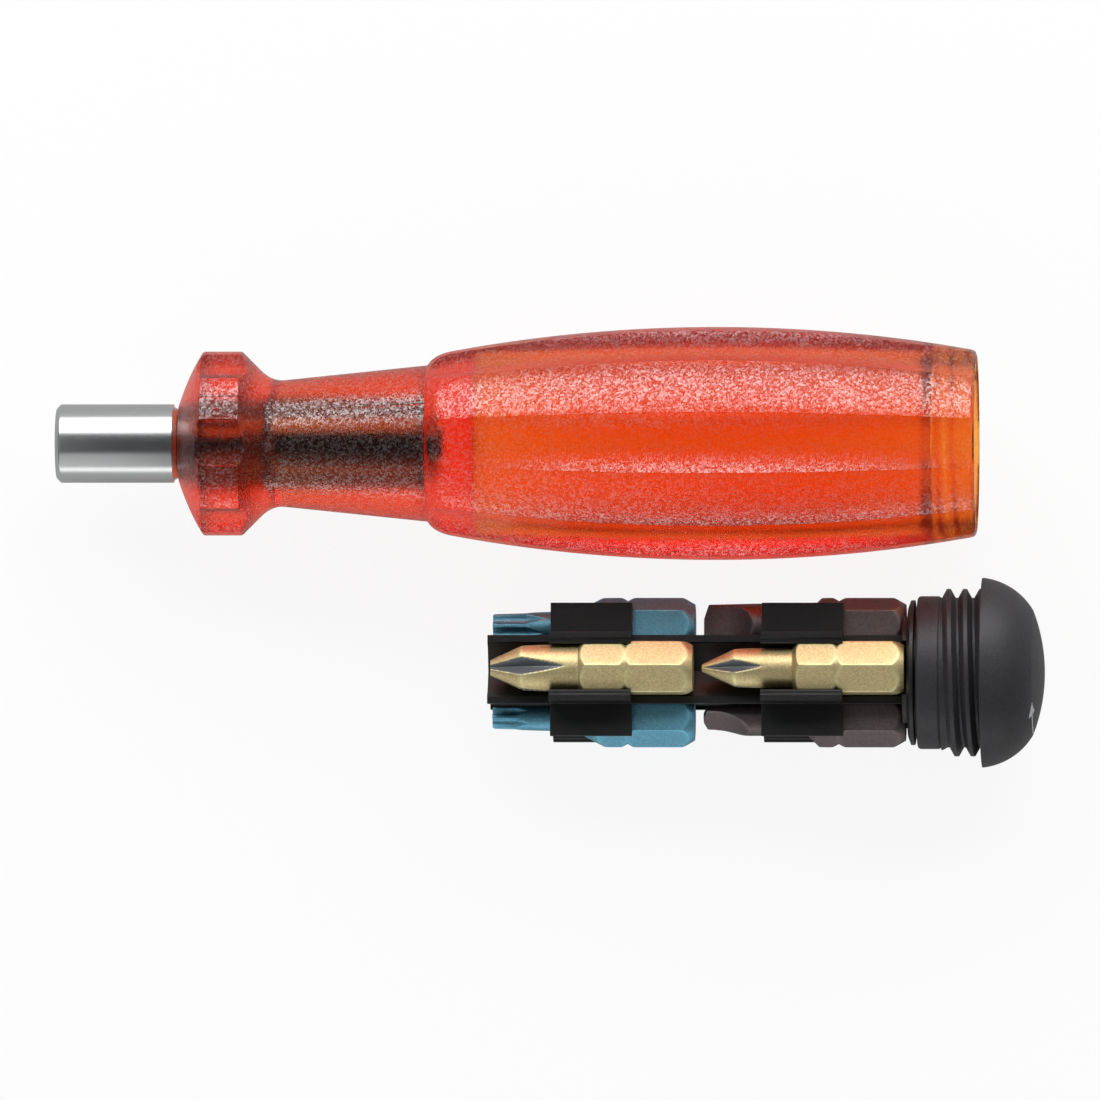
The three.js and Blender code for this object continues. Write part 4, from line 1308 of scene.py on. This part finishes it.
# Body, finish, row, side, twist, form of the tip, and start in mm and front angle of the hex
BITS = (
    ("cross_2", "gold_bit", 0, TOP, 0, cross_front, 10.9, 40),
    ("cross_1", "gold_bit", 1, TOP, 0, cross_front, 11.2, 54),
    ("star_15", "blue_bit", 0, HANDLE_SIDE, 0, star_front, 10.5, 28),
    ("star_20", "blue_bit", 0, UNDER, 0, star_front, 11.1, 28),
    ("star_10", "blue_bit", 0, OPEN_SIDE, 0, star_front, 10.3, 28),
    ("star_25", "blue_bit", 1, UNDER, 0, star_front, 11.6, 28),
    ("slot_wide", "dark_bit", 1, HANDLE_SIDE, 0, slot_front, 13.85, 45),
    ("slot_narrow", "dark_bit", 1, OPEN_SIDE, 60, slot_front, 12.9, 45),
)
# Sizes of each tip in mm
TIPS = {
    "cross_2": {"shank": 5.8, "point": 2, "web": 0.75, "flute": 9.1},
    "cross_1": {"shank": 4.9, "point": 0.9, "web": 0.5, "flute": 7.4},
    "star_15": {"across": 3.35, "lobes": 6.3},
    "star_20": {"across": 3.95, "lobes": 6.5},
    "star_10": {"across": 2.8, "lobes": 4.4},
    "star_25": {"across": 4.5, "lobes": 6.8},
    "slot_wide": {"width": 5.5, "thickness": 1, "ground": 6.1, "shank": 5.8},
    "slot_narrow": {"width": 4, "thickness": 0.8, "ground": 5.6, "shank": 4.4},
}


class SCREWDRIVER_OT_bits(bpy.types.Operator):
    """Add the hex bits in the channels of the magazine"""

    bl_idname = "screwdriver.bits"
    bl_label = "Bits"

    def execute(self, context):
        s = context.scene.screwdriver.bits
        finishes = {
            "gold_bit": coated_bit("gold_coating", s.gold, s.ground, s.roughness),
            "blue_bit": coated_bit("blue_coating", s.blue, s.ground, s.roughness),
            "dark_bit": coated_bit("dark_coating", s.bronze, s.ground, s.roughness),
        }
        place = magazine_place()
        for body, slot, row, side, twist, front, start, angle in BITS:
            sizes = {name: size * MM for name, size in TIPS[body].items()}
            points, masks = bit_grid(s, front, start * MM, math.tan(math.radians(angle)), sizes)
            channel = in_channel(points, s, row, side, twist)
            piece = add_piece(
                "coated_" + body, channel, place, finishes[slot], body, masks=masks, sharp=50
            )
            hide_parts("bit_" + body)
        return {"FINISHED"}


# Stage

FLOOR_REACH = 8
CAMERA_REACH = 20
# Kind of ray and the part of the floor that glows for it
FLOOR_GLOWS = (("Is Camera Ray", 0.72), ("Is Glossy Ray", 0.2), ("Is Transmission Ray", 0.64))
CEILING_START, CEILING_FULL = 0.4, 0.8  # heights of the direction between which the walls darken
# Name, setting of the brightness, width, height and middle of each light panel
PANELS = (
    ("key_panel", "key", 1.3, 0.6, (0, 0.58, 0.377)),
    ("fill_panel", "fill", 0.6, 0.55, (-0.345, -0.53, 0.46)),
    ("side_panel", "side", 0.69, 0.55, (0.3, -0.53, 0.46)),
    ("low_panel", "low", 1.3, 0.2, (0, -0.74, 0.105)),
    ("front_panel", "ends", 0.6, 0.4, (-0.5, 0, 0.55)),
    ("back_panel", "ends", 0.6, 0.4, (0.5, 0, 0.55)),
)


def light_panel(name, brightness, width, height, middle):
    """A soft panel of a given brightness that faces the X axis from its middle point."""
    lamp = bpy.data.lights.new(name, "AREA")
    lamp.shape = "RECTANGLE"
    lamp.size, lamp.size_y = width, height
    lamp.energy = brightness * math.pi * width * height
    panel = bpy.data.objects.new(name, lamp)
    bpy.context.scene.collection.objects.link(panel)
    panel.location = middle
    _, side, up = middle
    panel.rotation_euler = (math.atan2(-side, up), 0, 0)


def pale_floor(settings):
    """White floor: it keeps part of its shading, so the shadow stays, and glows for the camera,
    for reflections and for what is seen through the handle."""
    material = bpy.data.materials.new("pale_floor")
    material.use_nodes = True
    tree = material.node_tree
    tree.nodes.clear()
    output = tree.nodes.new("ShaderNodeOutputMaterial")
    shaded = add_node(tree, "ShaderNodeBsdfDiffuse", {"Color": rgba(settings.floor)})
    white = (1.0, 1.0, 1.0, 1.0)
    glow = add_node(tree, "ShaderNodeEmission", {"Color": white, "Strength": settings.glow})
    path = tree.nodes.new("ShaderNodeLightPath")
    seen = 0.0
    for ray, part in FLOOR_GLOWS:
        inputs = {0: path.outputs[ray], 1: part, 2: seen}
        seen = add_node(tree, "ShaderNodeMath", inputs, operation="MULTIPLY_ADD").outputs[0]
    mix = add_node(tree, "ShaderNodeMixShader", {0: seen, 1: shaded.outputs[0], 2: glow.outputs[0]})
    tree.links.new(mix.outputs[0], output.inputs["Surface"])
    return material


def studio_world(settings):
    """Grey walls that darken to the ceiling, by the height of the direction, and are paler where
    they are seen through the plastic."""
    world = bpy.data.worlds.new("studio")
    world.use_nodes = True
    tree = world.node_tree
    tree.nodes.clear()
    output = tree.nodes.new("ShaderNodeOutputWorld")
    where = tree.nodes.new("ShaderNodeTexCoord")
    height = add_node(tree, "ShaderNodeSeparateXYZ", {"Vector": where.outputs["Generated"]})
    dark = add_node(
        tree,
        "ShaderNodeMapRange",
        {"Value": height.outputs["Z"], "From Min": CEILING_START, "From Max": CEILING_FULL},
        interpolation_type="SMOOTHSTEP",
    )
    path = tree.nodes.new("ShaderNodeLightPath")
    plain, through = rgba(settings.horizon), rgba(settings.through)
    walls = mixed_colour(tree, path.outputs["Is Transmission Ray"], plain, through)
    colour = mixed_colour(tree, dark.outputs["Result"], walls, rgba(settings.zenith))
    background = add_node(tree, "ShaderNodeBackground", {"Color": colour, "Strength": 1.0})
    tree.links.new(background.outputs[0], output.inputs["Surface"])
    bpy.context.scene.world = world


class SCREWDRIVER_OT_stage(bpy.types.Operator):
    """Add the floor, the light and the camera"""

    bl_idname = "screwdriver.stage"
    bl_label = "Stage"

    def execute(self, context):
        s = context.scene.screwdriver.stage
        scene = context.scene
        scene.view_settings.view_transform = "Standard"
        studio_world(s)
        for name, light, width, height, middle in PANELS:
            light_panel(name, getattr(s, light), width, height, middle)

        mesh = bpy.data.meshes.new("floor")
        corners = FLOOR_REACH * np.array([(-1, -1, 0), (1, -1, 0), (1, 1, 0), (-1, 1, 0)])
        mesh.from_pydata(corners.tolist(), [], [(0, 1, 2, 3)])
        mesh.materials.append(pale_floor(s))
        floor = bpy.data.objects.new("floor", mesh)
        scene.collection.objects.link(floor)

        lens = bpy.data.cameras.new("camera")
        lens.sensor_width = 36
        lens.lens = lens.sensor_width * s.distance / s.view_width
        lens.clip_end = CAMERA_REACH
        camera = bpy.data.objects.new("camera", lens)
        camera.location = (0, s.view_shift, s.distance + s.view_height)
        scene.collection.objects.link(camera)
        scene.camera = camera
        return {"FINISHED"}


# Panel and registration


class SCREWDRIVER_PT_panel(bpy.types.Panel):
    """Buttons that add the pieces of the screwdriver"""

    bl_label = "Screwdriver"
    bl_space_type = "VIEW_3D"
    bl_region_type = "UI"
    bl_category = "Screwdriver"

    def draw(self, context):
        for operator in OPERATORS:
            self.layout.operator(operator.bl_idname)


OPERATORS = (
    SCREWDRIVER_OT_stage,
    SCREWDRIVER_OT_handle,
    SCREWDRIVER_OT_steel,
    SCREWDRIVER_OT_magazine,
    SCREWDRIVER_OT_cap,
    SCREWDRIVER_OT_bits,
)
CLASSES = (
    HandleSettings,
    SteelSettings,
    MagazineSettings,
    CapSettings,
    BitSettings,
    StageSettings,
    ScrewdriverSettings,
    *OPERATORS,
    SCREWDRIVER_PT_panel,
)


def register():
    for kind in CLASSES:
        bpy.utils.register_class(kind)
    bpy.types.Scene.screwdriver = bpy.props.PointerProperty(type=ScrewdriverSettings)


def unregister():
    del bpy.types.Scene.screwdriver
    for kind in reversed(CLASSES):
        bpy.utils.unregister_class(kind)


def main():
    """Adds the stage and the pieces."""
    register()
    bpy.ops.screwdriver.stage()
    bpy.ops.screwdriver.handle()
    bpy.ops.screwdriver.steel()
    bpy.ops.screwdriver.magazine()
    bpy.ops.screwdriver.cap()
    bpy.ops.screwdriver.bits()


if __name__ == "__main__":
    main()
